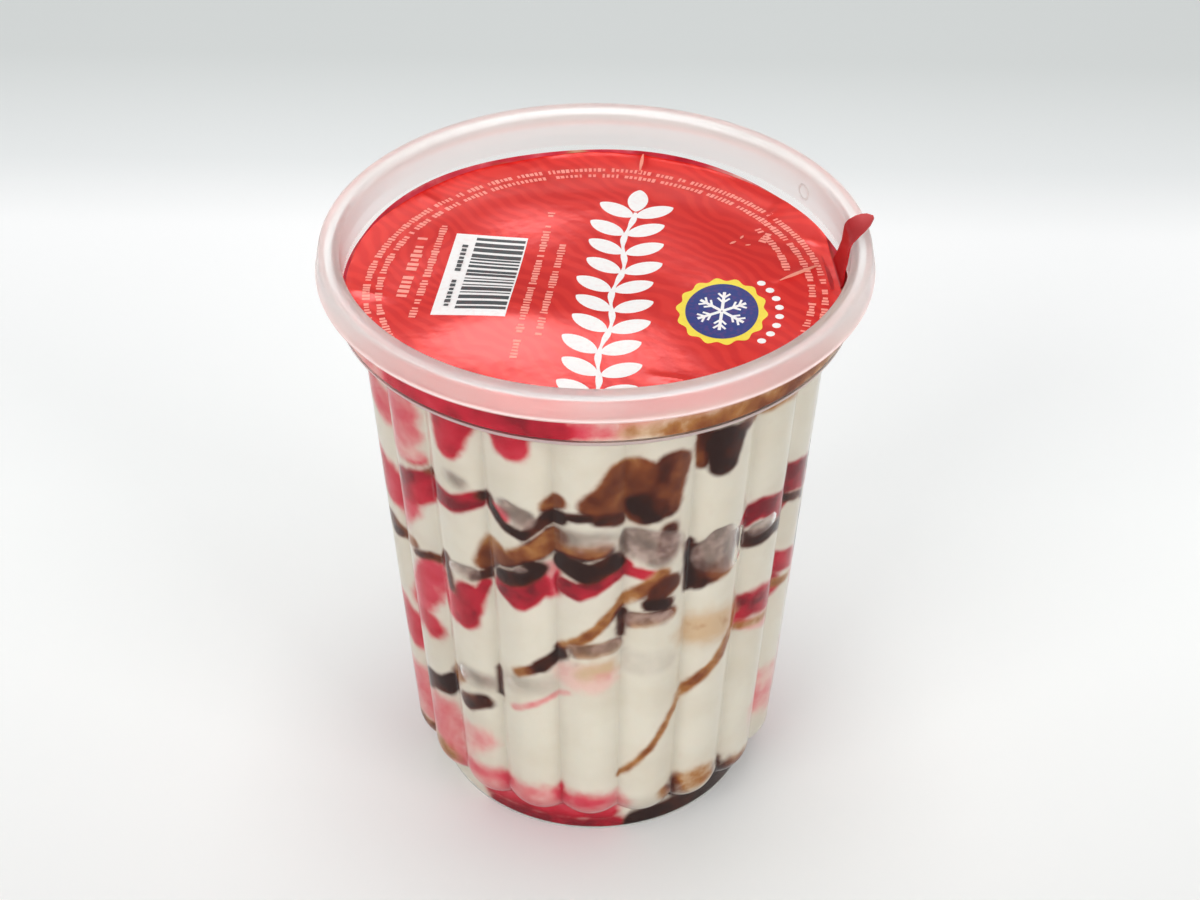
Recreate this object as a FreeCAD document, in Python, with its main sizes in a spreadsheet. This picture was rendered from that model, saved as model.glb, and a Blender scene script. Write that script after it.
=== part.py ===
"""Ice cream cup: a clear fluted tub, full of ice cream and closed by a recessed foil lid with a pull tab.

Millimetres, +Z up, origin at the middle of the base. The crown of a flute faces each of +X, -X, +Y and -Y.
The cup, its ice cream and its lid are three solids that meet face to face.
"""

import FreeCAD, Part
import math
import os
import re
import Sketcher

doc = FreeCAD.newDocument("IceCreamCup")

# ---------------------------------------------------------------------------------------------------
# Sizes: one sheet, each driving dimension written once, with what follows from them below it
# ---------------------------------------------------------------------------------------------------

sheet = doc.addObject("Spreadsheet::Sheet", "Sizes")

SIZES = [
    # the fluted wall: each flute is a round tapered finger with a ball end, leaning out with the wall
    ("cup_height", "83.5", "base to the crest of the rim"),
    ("wall", "0.8", "thickness of the moulded wall"),
    ("flute_count", "20", "flutes round the cup"),
    ("flute_gap", "3.9", "base to the lowest point of the ball ends"),
    ("flute_circle_foot", "20.4", "radius of the circle of flute centres, at the ball ends"),
    ("flute_circle_top", "23.55", "radius of the circle of flute centres, at the shoulder"),
    ("flute_radius_foot", "5.4", "radius of a flute at its ball end"),
    ("flute_radius_top", "6.67", "radius of a flute at the shoulder"),
    # the foot and the plain tapered middle, which the flutes hide above it
    ("foot_step", "1.7", "how far the foot stands out from the circle of the ball ends' centres"),
    ("foot_round", "0.5", "rounding of the foot's lower edge"),
    ("foot_land", "1.6", "width of the ring that the cup stands on"),
    ("base_recess", "0.6", "depth of the hollow under the floor"),
    ("floor_thickness", "1.0", "thickness of the cup's floor"),
    ("core_inset", "0.7", "how far the middle lies behind the valleys between the flutes, at the shoulder"),
    # the shoulder, the seat and the collar, which the lid lies inside
    ("collar_depth", "6.9", "crest of the rim to the underside of the lid"),
    ("overfill", "0.7", "thickness of the ice cream squeezed out over the seat, under the lid"),
    ("seat_width", "2.53", "width of the seat between a flute's crown and the collar"),
    ("seat_thickness", "0.8", "thickness of the shoulder under the seat"),
    ("collar_wall", "0.9", "thickness of the collar and of the rolled rim"),
    ("shoulder_round", "0.9", "rounding of the shoulder's outer edge"),
    # the rolled rim
    ("roll_width", "2.25", "how far the rim stands out from the collar, at the skirt's lower edge"),
    ("rim_lean", "0.4", "how far the skirt draws in from its lower edge to the crest"),
    ("skirt_height", "3.2", "height of the skirt below the crest"),
    ("rim_round", "0.85", "rounding of the rim's two upper edges"),
    # the foil lid and its tab
    ("foil", "0.2", "thickness of the lid and of its tab"),
    ("lid_gap", "0.2", "clearance between the lid's edge and the collar"),
    ("tab_angle", "6", "direction of the tab, turned from +X about the cup's axis"),
    ("tab_gap", "0.3", "clearance between the tab and the cup's rim"),
    ("tab_draft", "0.15", "how far the upright part of the tab leans out"),
    ("tab_bend", "0.5", "radius of the tab's outer face at the crease"),
    ("tab_fold", "1.6", "radius of the tab's outer face where it leans out over the rim"),
    ("tab_slope", "20", "slope of the leaning part above the horizontal, in degrees"),
    ("tab_inset", "0.4", "distance of the tab's tip inside the rim's outer edge"),
    ("tab_crease_width", "11", "width of the tab at its crease"),
    ("tab_width", "5.2", "width of the tab where its tip starts to round"),
    # what follows for the cup
    ("lid_z", "=cup_height - collar_depth", "underside of the lid, and level of the ice cream"),
    ("seat_z", "=lid_z - overfill", "top of the seat inside the collar"),
    ("shoulder_z", "=seat_z - seat_thickness", "underside of the shoulder"),
    ("flute_foot_z", "=flute_gap + flute_radius_foot", "height of the centres of the ball ends"),
    ("flute_run", "=shoulder_z - flute_foot_z", "height from the ball ends' centres to the shoulder"),
    ("flute_lean", "=(flute_circle_top - flute_circle_foot) / flute_run", "outward lean of a flute"),
    ("flute_swell", "=(flute_radius_top - flute_radius_foot) / flute_run", "growth of its radius"),
    ("flute_end_z", "=seat_z - seat_thickness * 0.4", "top of the flutes, inside the shoulder"),
    ("bore_end_z", "=lid_z + seat_thickness * 2", "top of the cavity's flutes, past the lid"),
    ("centre_x", "=flute_circle_top * cos(180 deg / flute_count)", "valley plane: flute centre's distance"),
    ("centre_y", "=flute_circle_top * sin(180 deg / flute_count)", "valley plane: half the flutes' spacing"),
    ("valley_radius", "=centre_x + sqrt(flute_radius_top ^ 2 - centre_y ^ 2)", "valleys, at the shoulder"),
    ("foot_radius", "=flute_circle_foot + foot_step", "outer radius of the foot at the base"),
    ("core_flare", "=(valley_radius - core_inset - foot_radius) / shoulder_z", "taper of the middle"),
    ("floor_z", "=base_recess + floor_thickness", "top of the floor"),
    ("collar_bore", "=flute_circle_top + flute_radius_top - wall + seat_width", "inner radius of the collar"),
    ("collar_radius", "=collar_bore + collar_wall", "outer radius of the collar"),
    ("rim_radius", "=collar_radius + roll_width", "outer radius at the skirt's lower edge"),
    ("rim_top_radius", "=rim_radius - rim_lean", "outer radius of the rim at its crest"),
    ("skirt_z", "=cup_height - skirt_height", "lower edge of the skirt"),
    ("roll_z", "=cup_height - collar_wall", "top of the hollow under the rim"),
    # what follows for the lid, whose slope is seen in the tab's side view
    ("lid_radius", "=collar_bore - lid_gap", "radius of the lid"),
    ("lean_x", "=collar_bore - tab_gap", "outer face of the tab below its fold"),
    ("tab_crease", "=lean_x - tab_draft - tab_bend", "distance from the axis to the crease"),
    ("tab_reach", "=rim_radius - tab_inset", "distance from the axis to the tab's tip"),
    ("fold_z", "=cup_height + tab_gap - tab_fold * cos(tab_slope * 1 deg)", "start of the fold"),
    ("fold_end_x", "=lean_x + tab_fold * (1 - sin(tab_slope * 1 deg))", "end of the fold"),
    ("fold_end_z", "=cup_height + tab_gap", "height of the end of the fold"),
    ("tip_z", "=fold_end_z + (tab_reach - fold_end_x) * tan(tab_slope * 1 deg)", "height of the tip"),
    ("foil_x", "=foil * sin(tab_slope * 1 deg)", "share of the foil's thickness along X in the slope"),
    ("foil_z", "=foil * cos(tab_slope * 1 deg)", "share of the foil's thickness along Z in the slope"),
    ("tongue_length", "=(tab_reach - tab_crease + tip_z - lid_z) * sqrt(0.5)", "tab, at 45 degrees"),
    ("tip_start", "=tongue_length - tab_width * 0.4", "start of the tab's round tip, seen at 45 degrees"),
    ("tip_radius", "=tab_width * 0.5125", "radius of the tip, its height 0.8 of its half width"),
]

for row, (alias, content, note) in enumerate(SIZES, start=1):
    sheet.set("A%d" % row, alias)
    sheet.set("B%d" % row, content)
    sheet.set("C%d" % row, note)
    sheet.setAlias("B%d" % row, alias)
doc.recompute()

ALIASES = re.compile(r"\b(" + "|".join(alias for alias, content, note in SIZES) + r")\b")


def bound(formula):
    """The formula as other objects read it, with each alias taken from the sheet."""
    return ALIASES.sub(r"Sizes.\1", formula)


def value(formula):
    """The number that a formula of aliases gives."""
    return float(sheet.evalExpression(formula))


# ---------------------------------------------------------------------------------------------------
# Sketches and features: outlines whose corners and radii are bound to the sheet
# ---------------------------------------------------------------------------------------------------

def add_body(name):
    body = doc.addObject("PartDesign::Body", name)
    body.Label = name
    return body


def origin_object(body, role):
    """A body's own origin plane or axis."""
    return next(feature for feature in body.Origin.OriginFeatures if feature.Role == role)


def add_sketch(body, name, plane):
    sketch = body.newObject("Sketcher::SketchObject", name)
    sketch.AttachmentSupport = [(origin_object(body, plane), "")]
    sketch.MapMode = "FlatFace"
    return sketch


def constrain(sketch, kind, formula, *place):
    """A dimension of a sketch, bound to the sheet."""
    index = sketch.addConstraint(Sketcher.Constraint(kind, *place, value(formula)))
    sketch.setExpression("Constraints[%d]" % index, bound(formula))


def add_arc(sketch, start, finish, radius, turn):
    """The shorter arc from start to finish, left-hand for a turn of 1 and right-hand for -1.

    Returns which of the arc's two ends is its start and which its finish, because a sketch keeps
    every arc counter-clockwise.
    """
    chord = finish - start
    rise = math.sqrt(max(radius ** 2 - (chord.Length / 2) ** 2, 0))
    across = FreeCAD.Vector(-chord.y, chord.x, 0).normalize()
    centre = (start + finish) * 0.5 + across * (rise * turn)
    first, last = (start, finish) if turn > 0 else (finish, start)
    angles = [math.atan2(point.y - centre.y, point.x - centre.x) for point in (first, last)]
    if angles[1] < angles[0]:
        angles[1] += 2 * math.pi
    circle = Part.Circle(centre, FreeCAD.Vector(0, 0, 1), radius)
    sketch.addGeometry(Part.ArcOfCircle(circle, *angles), False)
    return (1, 2) if turn > 0 else (2, 1)


def draw_loop(sketch, corners):
    """A closed loop through corners given as (x, y), in formulas of the sheet's aliases.

    A corner given as (x, y, radius, turn) starts a round edge. "0" puts a corner on an axis.
    """
    edge = sketch.GeometryCount
    points = [FreeCAD.Vector(value(corner[0]), value(corner[1]), 0) for corner in corners]
    ends = []
    for corner, start, finish in zip(corners, points, points[1:] + points[:1]):
        if len(corner) == 2:
            sketch.addGeometry(Part.LineSegment(start, finish), False)
            ends.append((1, 2))
        else:
            ends.append(add_arc(sketch, start, finish, value(corner[2]), corner[3]))
    for index, corner in enumerate(corners):
        here = (edge + index, ends[index][0])
        before = (edge + (index - 1) % len(corners), ends[index - 1][1])
        sketch.addConstraint(Sketcher.Constraint("Coincident", *before, *here))
        for kind, axis, formula in (("DistanceX", -2, corner[0]), ("DistanceY", -1, corner[1])):
            if formula == "0":
                sketch.addConstraint(Sketcher.Constraint("PointOnObject", *here, axis))
            else:
                constrain(sketch, kind, formula, -1, 1, *here)
        if len(corner) > 2:
            constrain(sketch, "Radius", corner[2], edge + index)


def revolve(body, name, sketch, cut=False):
    """A full turn of a sketch about its own vertical axis, added to the body or cut from it."""
    feature = body.newObject("PartDesign::Groove" if cut else "PartDesign::Revolution", name)
    feature.Profile = sketch
    feature.ReferenceAxis = (sketch, ["V_Axis"])
    feature.Angle = 360
    body.Tip = feature
    return feature


def repeat_round(body, name, feature):
    """The feature once for each flute, evenly round the cup."""
    pattern = body.newObject("PartDesign::PolarPattern", name)
    pattern.Originals = [feature]
    pattern.Axis = (origin_object(body, "Z_Axis"), [""])
    pattern.Angle = 360
    pattern.setExpression("Occurrences", bound("flute_count"))
    body.Tip = pattern
    return pattern


def add_flutes(body, name, inset, end, cut=False):
    """All the flutes, their surface a given inset inside the cup's outer one, up to a given height.

    One flute is turned about its own leaning axis: a ball end, then a straight swelling side.
    """
    sketch = add_sketch(body, name + "Outline", "XZ_Plane")
    sketch.setExpression("AttachmentOffset.Base.x", bound("flute_circle_foot"))
    sketch.setExpression("AttachmentOffset.Base.y", bound("flute_foot_z"))
    sketch.setExpression("AttachmentOffset.Rotation.Angle", bound("-atan(flute_lean)"))
    ball = "flute_radius_foot - " + inset
    rise = "(%s - flute_foot_z)" % end
    length = "%s * sqrt(1 + flute_lean ^ 2)" % rise
    draw_loop(sketch, [
        ("0", "-(%s)" % ball, ball, 1),
        (ball, "0"),
        ("%s + flute_swell * %s" % (ball, rise), length),
        ("0", length),
    ])
    flute = revolve(body, name, sketch, cut)
    return repeat_round(body, name + "Ring", flute)


# ---------------------------------------------------------------------------------------------------
# The cup: clear polypropylene, moulded in one piece
# ---------------------------------------------------------------------------------------------------

def add_core(body, name, inset, bottom, top, cut=False):
    """The plain tapered middle that the flutes stand out from. Only its foot shows."""
    sketch = add_sketch(body, name + "Outline", "XZ_Plane")
    draw_loop(sketch, [
        ("0", bottom),
        ("foot_radius + core_flare * %s - %s" % (bottom, inset), bottom),
        ("foot_radius + core_flare * %s - %s" % (top, inset), top),
        ("0", top),
    ])
    return revolve(body, name, sketch, cut)


def make_cup():
    cup = add_body("cup")

    # foot, tapered middle, shoulder, collar and rolled rim, solid to the axis below the lid's seat
    shell = add_sketch(cup, "ShellOutline", "XZ_Plane")
    draw_loop(shell, [
        ("0", "0"),
        ("foot_radius - foot_round", "0", "foot_round", 1),
        ("foot_radius", "foot_round"),
        ("foot_radius + core_flare * shoulder_z", "shoulder_z"),
        ("collar_radius - shoulder_round", "shoulder_z", "shoulder_round", 1),
        ("collar_radius", "shoulder_z + shoulder_round"),
        ("collar_radius", "roll_z"),
        ("rim_top_radius - collar_wall", "roll_z"),
        ("rim_radius - collar_wall", "skirt_z"),
        ("rim_radius", "skirt_z"),
        ("rim_top_radius", "cup_height - rim_round", "rim_round", 1),
        ("rim_top_radius - rim_round", "cup_height"),
        ("collar_bore + rim_round", "cup_height", "rim_round", 1),
        ("collar_bore", "cup_height - rim_round"),
        ("collar_bore", "seat_z"),
        ("0", "seat_z"),
    ])
    revolve(cup, "Shell", shell)
    add_flutes(cup, "Flutes", "0", "flute_end_z")

    # the cavity that the ice cream fills
    add_core(cup, "Cavity", "wall", "floor_z", "bore_end_z", cut=True)
    add_flutes(cup, "CavityFlutes", "wall", "bore_end_z", cut=True)

    # the hollow that leaves a ring to stand on
    hollow = add_sketch(cup, "BaseHollowOutline", "XZ_Plane")
    draw_loop(hollow, [
        ("0", "0"),
        ("foot_radius - foot_land", "0"),
        ("foot_radius - foot_land - base_recess", "base_recess"),
        ("0", "base_recess"),
    ])
    revolve(cup, "BaseHollow", hollow, cut=True)
    return cup


# ---------------------------------------------------------------------------------------------------
# The ice cream: it fills the cup to the underside of the lid, and covers the seat
# ---------------------------------------------------------------------------------------------------

def make_ice_cream():
    ice_cream = add_body("ice_cream")
    add_core(ice_cream, "Fill", "wall", "floor_z", "lid_z")
    add_flutes(ice_cream, "FillFlutes", "wall", "bore_end_z")

    # levelled by the lid
    level = add_sketch(ice_cream, "LevelOutline", "XZ_Plane")
    draw_loop(level, [
        ("0", "lid_z"),
        ("rim_radius", "lid_z"),
        ("rim_radius", "cup_height"),
        ("0", "cup_height"),
    ])
    revolve(ice_cream, "Level", level, cut=True)

    # the lid pressed a thin layer out over the seat, as far as the collar
    layer = add_sketch(ice_cream, "LayerOutline", "XZ_Plane")
    draw_loop(layer, [
        ("0", "seat_z"),
        ("collar_bore", "seat_z"),
        ("collar_bore", "lid_z"),
        ("0", "lid_z"),
    ])
    revolve(ice_cream, "Layer", layer)
    return ice_cream


# ---------------------------------------------------------------------------------------------------
# The lid: a foil disc pressed onto the full cup, with a tongue turned up and out over the rim
# ---------------------------------------------------------------------------------------------------

def draw_disc(sketch):
    """A circle whose edge is cut straight at the crease."""
    half = math.acos(value("tab_crease / lid_radius"))
    circle = Part.Circle(FreeCAD.Vector(0, 0, 0), FreeCAD.Vector(0, 0, 1), value("lid_radius"))
    rim = sketch.addGeometry(Part.ArcOfCircle(circle, half, 2 * math.pi - half), False)
    arc = sketch.Geometry[rim]
    crease = sketch.addGeometry(Part.LineSegment(arc.EndPoint, arc.StartPoint), False)
    sketch.addConstraint(Sketcher.Constraint("Coincident", rim, 3, -1, 1))
    sketch.addConstraint(Sketcher.Constraint("Coincident", rim, 2, crease, 1))
    sketch.addConstraint(Sketcher.Constraint("Coincident", crease, 2, rim, 1))
    sketch.addConstraint(Sketcher.Constraint("Vertical", crease))
    constrain(sketch, "Radius", "lid_radius", rim)
    constrain(sketch, "DistanceX", "tab_crease", -1, 1, crease, 1)


def make_lid():
    lid = add_body("lid")

    # a strip of foil bent along the tab's side view
    side = add_sketch(lid, "TabSide", "XZ_Plane")
    draw_loop(side, [
        ("tab_crease - 2 * foil", "lid_z"),
        ("tab_crease", "lid_z", "tab_bend", 1),
        ("tab_crease + tab_bend", "lid_z + tab_bend"),
        ("lean_x", "fold_z", "tab_fold", -1),
        ("fold_end_x", "fold_end_z"),
        ("tab_reach", "tip_z"),
        ("tab_reach - foil_x", "tip_z + foil_z"),
        ("fold_end_x - foil_x", "fold_end_z + foil_z", "tab_fold + foil", 1),
        ("lean_x - foil", "fold_z"),
        ("tab_crease + tab_bend - foil", "lid_z + tab_bend", "tab_bend - foil", -1),
        ("tab_crease", "lid_z + foil"),
        ("tab_crease - 2 * foil", "lid_z + foil"),
    ])
    strip = lid.newObject("PartDesign::Pad", "TabStrip")
    strip.Profile = side
    strip.SideType = "Symmetric"
    strip.setExpression("Length", bound("tab_crease_width + tab_width"))

    # its outline, cut square to the line that runs halfway between the upright and the leaning part
    tongue = add_sketch(lid, "TabTongue", "YZ_Plane")
    halfway = FreeCAD.Rotation(FreeCAD.Vector(1, 0, 0), 45)
    tongue.AttachmentOffset = FreeCAD.Placement(FreeCAD.Vector(), halfway)
    tongue.setExpression("AttachmentOffset.Base.y", bound("lid_z"))
    tongue.setExpression("AttachmentOffset.Base.z", bound("tab_crease"))
    draw_loop(tongue, [
        ("-tab_crease_width", "-tab_crease_width"),
        ("tab_crease_width", "-tab_crease_width"),
        ("tab_crease_width", "tongue_length + tab_crease_width"),
        ("-tab_crease_width", "tongue_length + tab_crease_width"),
    ])
    draw_loop(tongue, [
        ("-tab_crease_width / 2", "-tab_bend"),
        ("tab_crease_width / 2", "-tab_bend"),
        ("tab_crease_width / 2", "tab_bend"),
        ("tab_width / 2", "tip_start", "tip_radius", 1),
        ("-tab_width / 2", "tip_start"),
        ("-tab_crease_width / 2", "tab_bend"),
    ])
    outline = lid.newObject("PartDesign::Pocket", "TabOutline")
    outline.Profile = tongue
    outline.Type = "ThroughAll"
    outline.SideType = "Symmetric"

    # the disc that it is cut from
    disc = add_sketch(lid, "DiscOutline", "XY_Plane")
    disc.setExpression("AttachmentOffset.Base.z", bound("lid_z"))
    draw_disc(disc)
    foil = lid.newObject("PartDesign::Pad", "Disc")
    foil.Profile = disc
    foil.setExpression("Length", bound("foil"))
    lid.Tip = foil
    lid.setExpression("Placement.Rotation.Angle", bound("tab_angle"))
    return lid


# ---------------------------------------------------------------------------------------------------
# The three pieces are built, tested and written
# ---------------------------------------------------------------------------------------------------

pieces = [make_cup(), make_ice_cream(), make_lid()]
doc.recompute()

for item in doc.Objects:
    if "Invalid" in item.State or "Error" in item.State:
        raise RuntimeError("%s can't be built: %s" % (item.Name, item.State))
for piece in pieces:
    if piece.Shape.isNull() or not piece.Shape.isValid() or len(piece.Shape.Solids) != 1:
        raise RuntimeError("%s isn't one valid solid" % piece.Label)

os.makedirs("parts", exist_ok=True)
for piece in pieces:
    piece.Shape.exportStep("parts/%s.step" % piece.Label)
    print("%s: %.1f mm3, %d faces" % (piece.Label, piece.Shape.Volume, len(piece.Shape.Faces)))
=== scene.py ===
"""Looks of the ice cream cup: a clear fluted tub, rippled ice cream and a printed foil lid with a tab.

Metres in the scene, millimetres in the shape formulas. Bearings are degrees from the front of the cup
(-Y) towards +X, so the crowns of the flutes lie at 0, 18, 36 and so on, and the valleys between them.
"""

import bpy
import numpy as np
from mathutils import Matrix, Vector


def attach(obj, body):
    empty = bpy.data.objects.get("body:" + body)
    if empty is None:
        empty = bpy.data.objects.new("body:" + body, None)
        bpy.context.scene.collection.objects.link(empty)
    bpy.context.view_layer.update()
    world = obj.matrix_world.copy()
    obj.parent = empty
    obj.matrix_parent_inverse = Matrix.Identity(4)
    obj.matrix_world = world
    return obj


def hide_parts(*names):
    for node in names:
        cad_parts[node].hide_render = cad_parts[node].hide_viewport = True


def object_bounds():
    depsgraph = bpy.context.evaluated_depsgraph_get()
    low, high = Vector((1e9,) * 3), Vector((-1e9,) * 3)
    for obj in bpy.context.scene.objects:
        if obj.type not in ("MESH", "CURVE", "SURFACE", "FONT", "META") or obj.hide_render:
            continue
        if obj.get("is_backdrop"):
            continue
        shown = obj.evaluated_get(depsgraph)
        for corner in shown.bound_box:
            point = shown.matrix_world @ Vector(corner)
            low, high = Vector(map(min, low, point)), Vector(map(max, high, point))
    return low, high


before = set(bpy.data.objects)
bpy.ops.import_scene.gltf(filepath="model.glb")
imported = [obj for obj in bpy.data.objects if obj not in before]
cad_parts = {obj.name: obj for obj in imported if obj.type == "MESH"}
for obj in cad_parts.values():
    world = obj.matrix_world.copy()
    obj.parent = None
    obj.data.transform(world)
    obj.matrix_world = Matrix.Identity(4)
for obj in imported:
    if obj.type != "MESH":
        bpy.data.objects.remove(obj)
cad_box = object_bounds()
bpy.context.scene.view_settings.view_transform = "Standard"
MM = 0.001

# ----------------------------------------------------------
# The studio: one white paper floor whose tones are painted light and shade, brighter round the cup than
# towards the back, under soft boxes on the left, on the right and above, and one behind that the swells
# of the foil and the rim mirror.
# ----------------------------------------------------------

FLOOR_HALF = 3.0
FLOOR_PAINTED_LIGHT_TONES = (
    # distance behind the cup's axis in metres, and the paper's tone there: painted light and shade
    (-0.30, (236, 234, 230)),
    (-0.05, (231, 231, 229)),
    (0.05, (252, 253, 251)),
    (0.135, (255, 255, 254)),
    (0.16, (234, 236, 235)),
    (0.205, (214, 217, 215)),
    (0.60, (212, 216, 216)),
)
FLOOR_GLOW = 0.11
ROOM_TONE, ROOM_STRENGTH = (0.95, 0.97, 1.0, 1.0), 0.38
LAMP_AIM = (0, 0, 0.05)


def srgb(red, green, blue):
    """A display colour, 0 to 255, as the linear colour that a shader socket takes."""
    display = np.array((red, green, blue)) / 255
    linear = np.where(display < 0.04045, display / 12.92, ((display + 0.055) / 1.055) ** 2.4)
    return (*(float(part) for part in linear), 1.0)


def build_in(tree):
    """Makes a node tree the one that the helpers below build in."""
    global nodes, links
    nodes, links = tree.nodes, tree.links


def set_inputs(node, values):
    """Inputs of a node, by name or number: a socket is linked, and a plain value is set."""
    for name, value in values.items():
        if isinstance(value, bpy.types.NodeSocket):
            links.new(value, node.inputs[name])
        else:
            node.inputs[name].default_value = value


def add_node(kind, values=None, output=0, **settings):
    """A new node's output socket, by name or number."""
    node = nodes.new(kind)
    for name, value in settings.items():
        setattr(node, name, value)
    set_inputs(node, values or {})
    return node.outputs[output]


def calculate(operation, *values):
    """The result of a math node on sockets and numbers."""
    return add_node("ShaderNodeMath", dict(enumerate(values)), operation=operation)


def object_place():
    """Where a point is in the object's own space."""
    return add_node("ShaderNodeTexCoord", output="Object")


def colour_by(amount, stops):
    """A ramp of display colours over an amount, with stops of (position, colour)."""
    colour = add_node("ShaderNodeValToRGB", {"Fac": amount})
    elements = colour.node.color_ramp.elements
    while len(elements) > 1:
        elements.remove(elements[-1])
    elements[0].position = stops[0][0]
    elements[0].color = srgb(*stops[0][1])
    for position, tone in stops[1:]:
        elements.new(position).color = srgb(*tone)
    return colour


def new_material(name, values):
    """A material, which is built in next, and its Principled shader."""
    material = bpy.data.materials.new(name)
    material.use_nodes = True
    build_in(material.node_tree)
    set_inputs(nodes["Principled BSDF"], values)
    return material, nodes["Principled BSDF"]


def add_piece(name, vertices, faces, edges=()):
    """A mesh object at the origin, from points in millimetres."""
    mesh = bpy.data.meshes.new(name)
    mesh.from_pydata((np.asarray(vertices, float) * MM).tolist(), edges, faces)
    mesh.update()
    piece = bpy.data.objects.new(name, mesh)
    bpy.context.scene.collection.objects.link(piece)
    return piece


paper, paper_shader = new_material("white_paper", {"Roughness": 0.7, "Specular IOR Level": 0.2})
# the paper's colour follows its distance behind the cup: painted light and shade
near_end, far_end = FLOOR_PAINTED_LIGHT_TONES[0][0], FLOOR_PAINTED_LIGHT_TONES[-1][0]
behind = add_node("ShaderNodeSeparateXYZ", {"Vector": object_place()}, "Y")
behind = add_node("ShaderNodeMapRange", {"Value": behind, "From Min": near_end, "From Max": far_end})
stops = [((distance - near_end) / (far_end - near_end), tone) for distance, tone in FLOOR_PAINTED_LIGHT_TONES]
tone = colour_by(behind, stops)

# the paper looks a little whiter than the lamps make it, itself and in gloss and through plastic
ray = add_node("ShaderNodeLightPath").node.outputs
seen = calculate("MAXIMUM", ray["Is Camera Ray"], ray["Is Glossy Ray"])
seen = calculate("MAXIMUM", seen, ray["Is Transmission Ray"])
glow = calculate("MULTIPLY", seen, FLOOR_GLOW)
set_inputs(paper_shader, {"Base Color": tone, "Emission Color": tone, "Emission Strength": glow})

corner = FLOOR_HALF / MM
corners = [(-corner, -corner, 0), (corner, -corner, 0), (corner, corner, 0), (-corner, corner, 0)]
floor = add_piece("floor", corners, [(0, 1, 2, 3)])
floor.data.materials.append(paper)
floor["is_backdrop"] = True

world = bpy.data.worlds.new("soft_room")
bpy.context.scene.world = world
world.use_nodes = True
build_in(world.node_tree)
set_inputs(nodes["Background"], {"Color": ROOM_TONE, "Strength": ROOM_STRENGTH})


def add_soft_box(name, place, width, height, watts):
    """A rectangular lamp that faces the middle of the cup."""
    lamp = bpy.data.lights.new(name, "AREA")
    lamp.shape = "RECTANGLE"
    lamp.size = width
    lamp.size_y = height
    lamp.energy = watts
    box = bpy.data.objects.new(name, lamp)
    box.location = place
    aim = Vector(LAMP_AIM) - Vector(place)
    box.rotation_euler = aim.to_track_quat("-Z", "Y").to_euler()
    bpy.context.scene.collection.objects.link(box)
    return box


add_soft_box("key_box", (-0.62, -0.74, 0.54), 0.6, 0.6, 4.7)
add_soft_box("fill_box", (0.75, -0.62, 0.44), 0.5, 0.5, 3.8)
add_soft_box("top_box", (0.0, 0.12, 0.95), 0.45, 0.45, 2.8)
mirrored = add_soft_box("back_box", (-0.16, 0.64, 0.74), 0.42, 0.22, 1.8)
mirrored.visible_diffuse = False

# the camera's place in degrees and metres, which way it looks in degrees, and its lens in millimetres
CAMERA_BEARING, CAMERA_DISTANCE, CAMERA_HEIGHT = 1.6, 0.24456, 0.23718
CAMERA_TILT, CAMERA_PAN, CAMERA_ROLL = 37.455, 0.155, 0.17
LENS, SENSOR_WIDTH = 69, 36

lens = bpy.data.cameras.new("camera")
lens.sensor_width = SENSOR_WIDTH
lens.lens = LENS
camera = bpy.data.objects.new("camera", lens)
bearing = np.radians(CAMERA_BEARING)
camera.location = (
    CAMERA_DISTANCE * np.sin(bearing),
    -CAMERA_DISTANCE * np.cos(bearing),
    CAMERA_HEIGHT,
)
turn = Matrix.Rotation(np.radians(CAMERA_BEARING - CAMERA_PAN), 3, "Z")
tilt = Matrix.Rotation(np.radians(90 - CAMERA_TILT), 3, "X")
roll = Matrix.Rotation(np.radians(CAMERA_ROLL), 3, "Z")
camera.rotation_euler = (turn @ tilt @ roll).to_euler()
bpy.context.scene.collection.objects.link(camera)
bpy.context.scene.camera = camera

# ----------------------------------------------------------
# The cup: one thin-walled moulding of clear polypropylene. Twenty round flutes with ball ends stand
# out from a tapered middle, and above a shoulder come a plain collar and a rolled rim, where
# the plastic is free on both sides and looks milky. The shoulder and the skirt's lower edge carry
# painted light and shade: a more diffuse, pink-tinted copy of the plastic lightens the shade under
# the shoulder, and a darker pink copy dims the highlight along the skirt's edge.
# ----------------------------------------------------------

CUP_HEIGHT = 83.5
WALL = 0.8
FLUTES = 20
FLUTE_TURN = 360 / FLUTES
BALL_Z = 9.3
SHOULDER_Z = 75.1
SEAT_Z = 75.9
LID_Z = 76.6
FOOT_RADIUS = 22.1
FLOOR_Z = 1.6
COLLAR_BORE, COLLAR_RADIUS = 31.95, 32.85
RIM_RADIUS, RIM_TOP_RADIUS = 35.1, 34.7
SKIRT_Z = 80.3
ROLL_Z = 82.6
COLUMNS_PER_FLUTE, VALLEY_CROWDING = 24, 0.55
FOOT_ROUNDING, SHOULDER_ROUNDING, ROLL_ROUNDING, RIM_ROUNDING = 0.5, 0.9, 0.3, 0.85
SKIRT_INNER_ROUNDING, SKIRT_OUTER_ROUNDING = 0.15, 0.25


def flute_bearings():
    """Bearings of the mesh columns, closer together in the valleys than on the crowns."""
    step = np.linspace(-1, 1, COLUMNS_PER_FLUTE, endpoint=False)
    part = (1 - VALLEY_CROWDING) * step + VALLEY_CROWDING * np.sin(step * np.pi / 2)
    return (np.arange(FLUTES)[:, None] * FLUTE_TURN + part[None, :] * FLUTE_TURN / 2).ravel()


def bend(centre, radius, start, finish, steps=5):
    """Points of an arc in a profile, from one angle to another, in degrees from straight out."""
    angles = np.radians(np.linspace(start, finish, steps))
    return (np.array(centre) + radius * np.stack((np.cos(angles), np.sin(angles)), axis=1)).tolist()


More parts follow.
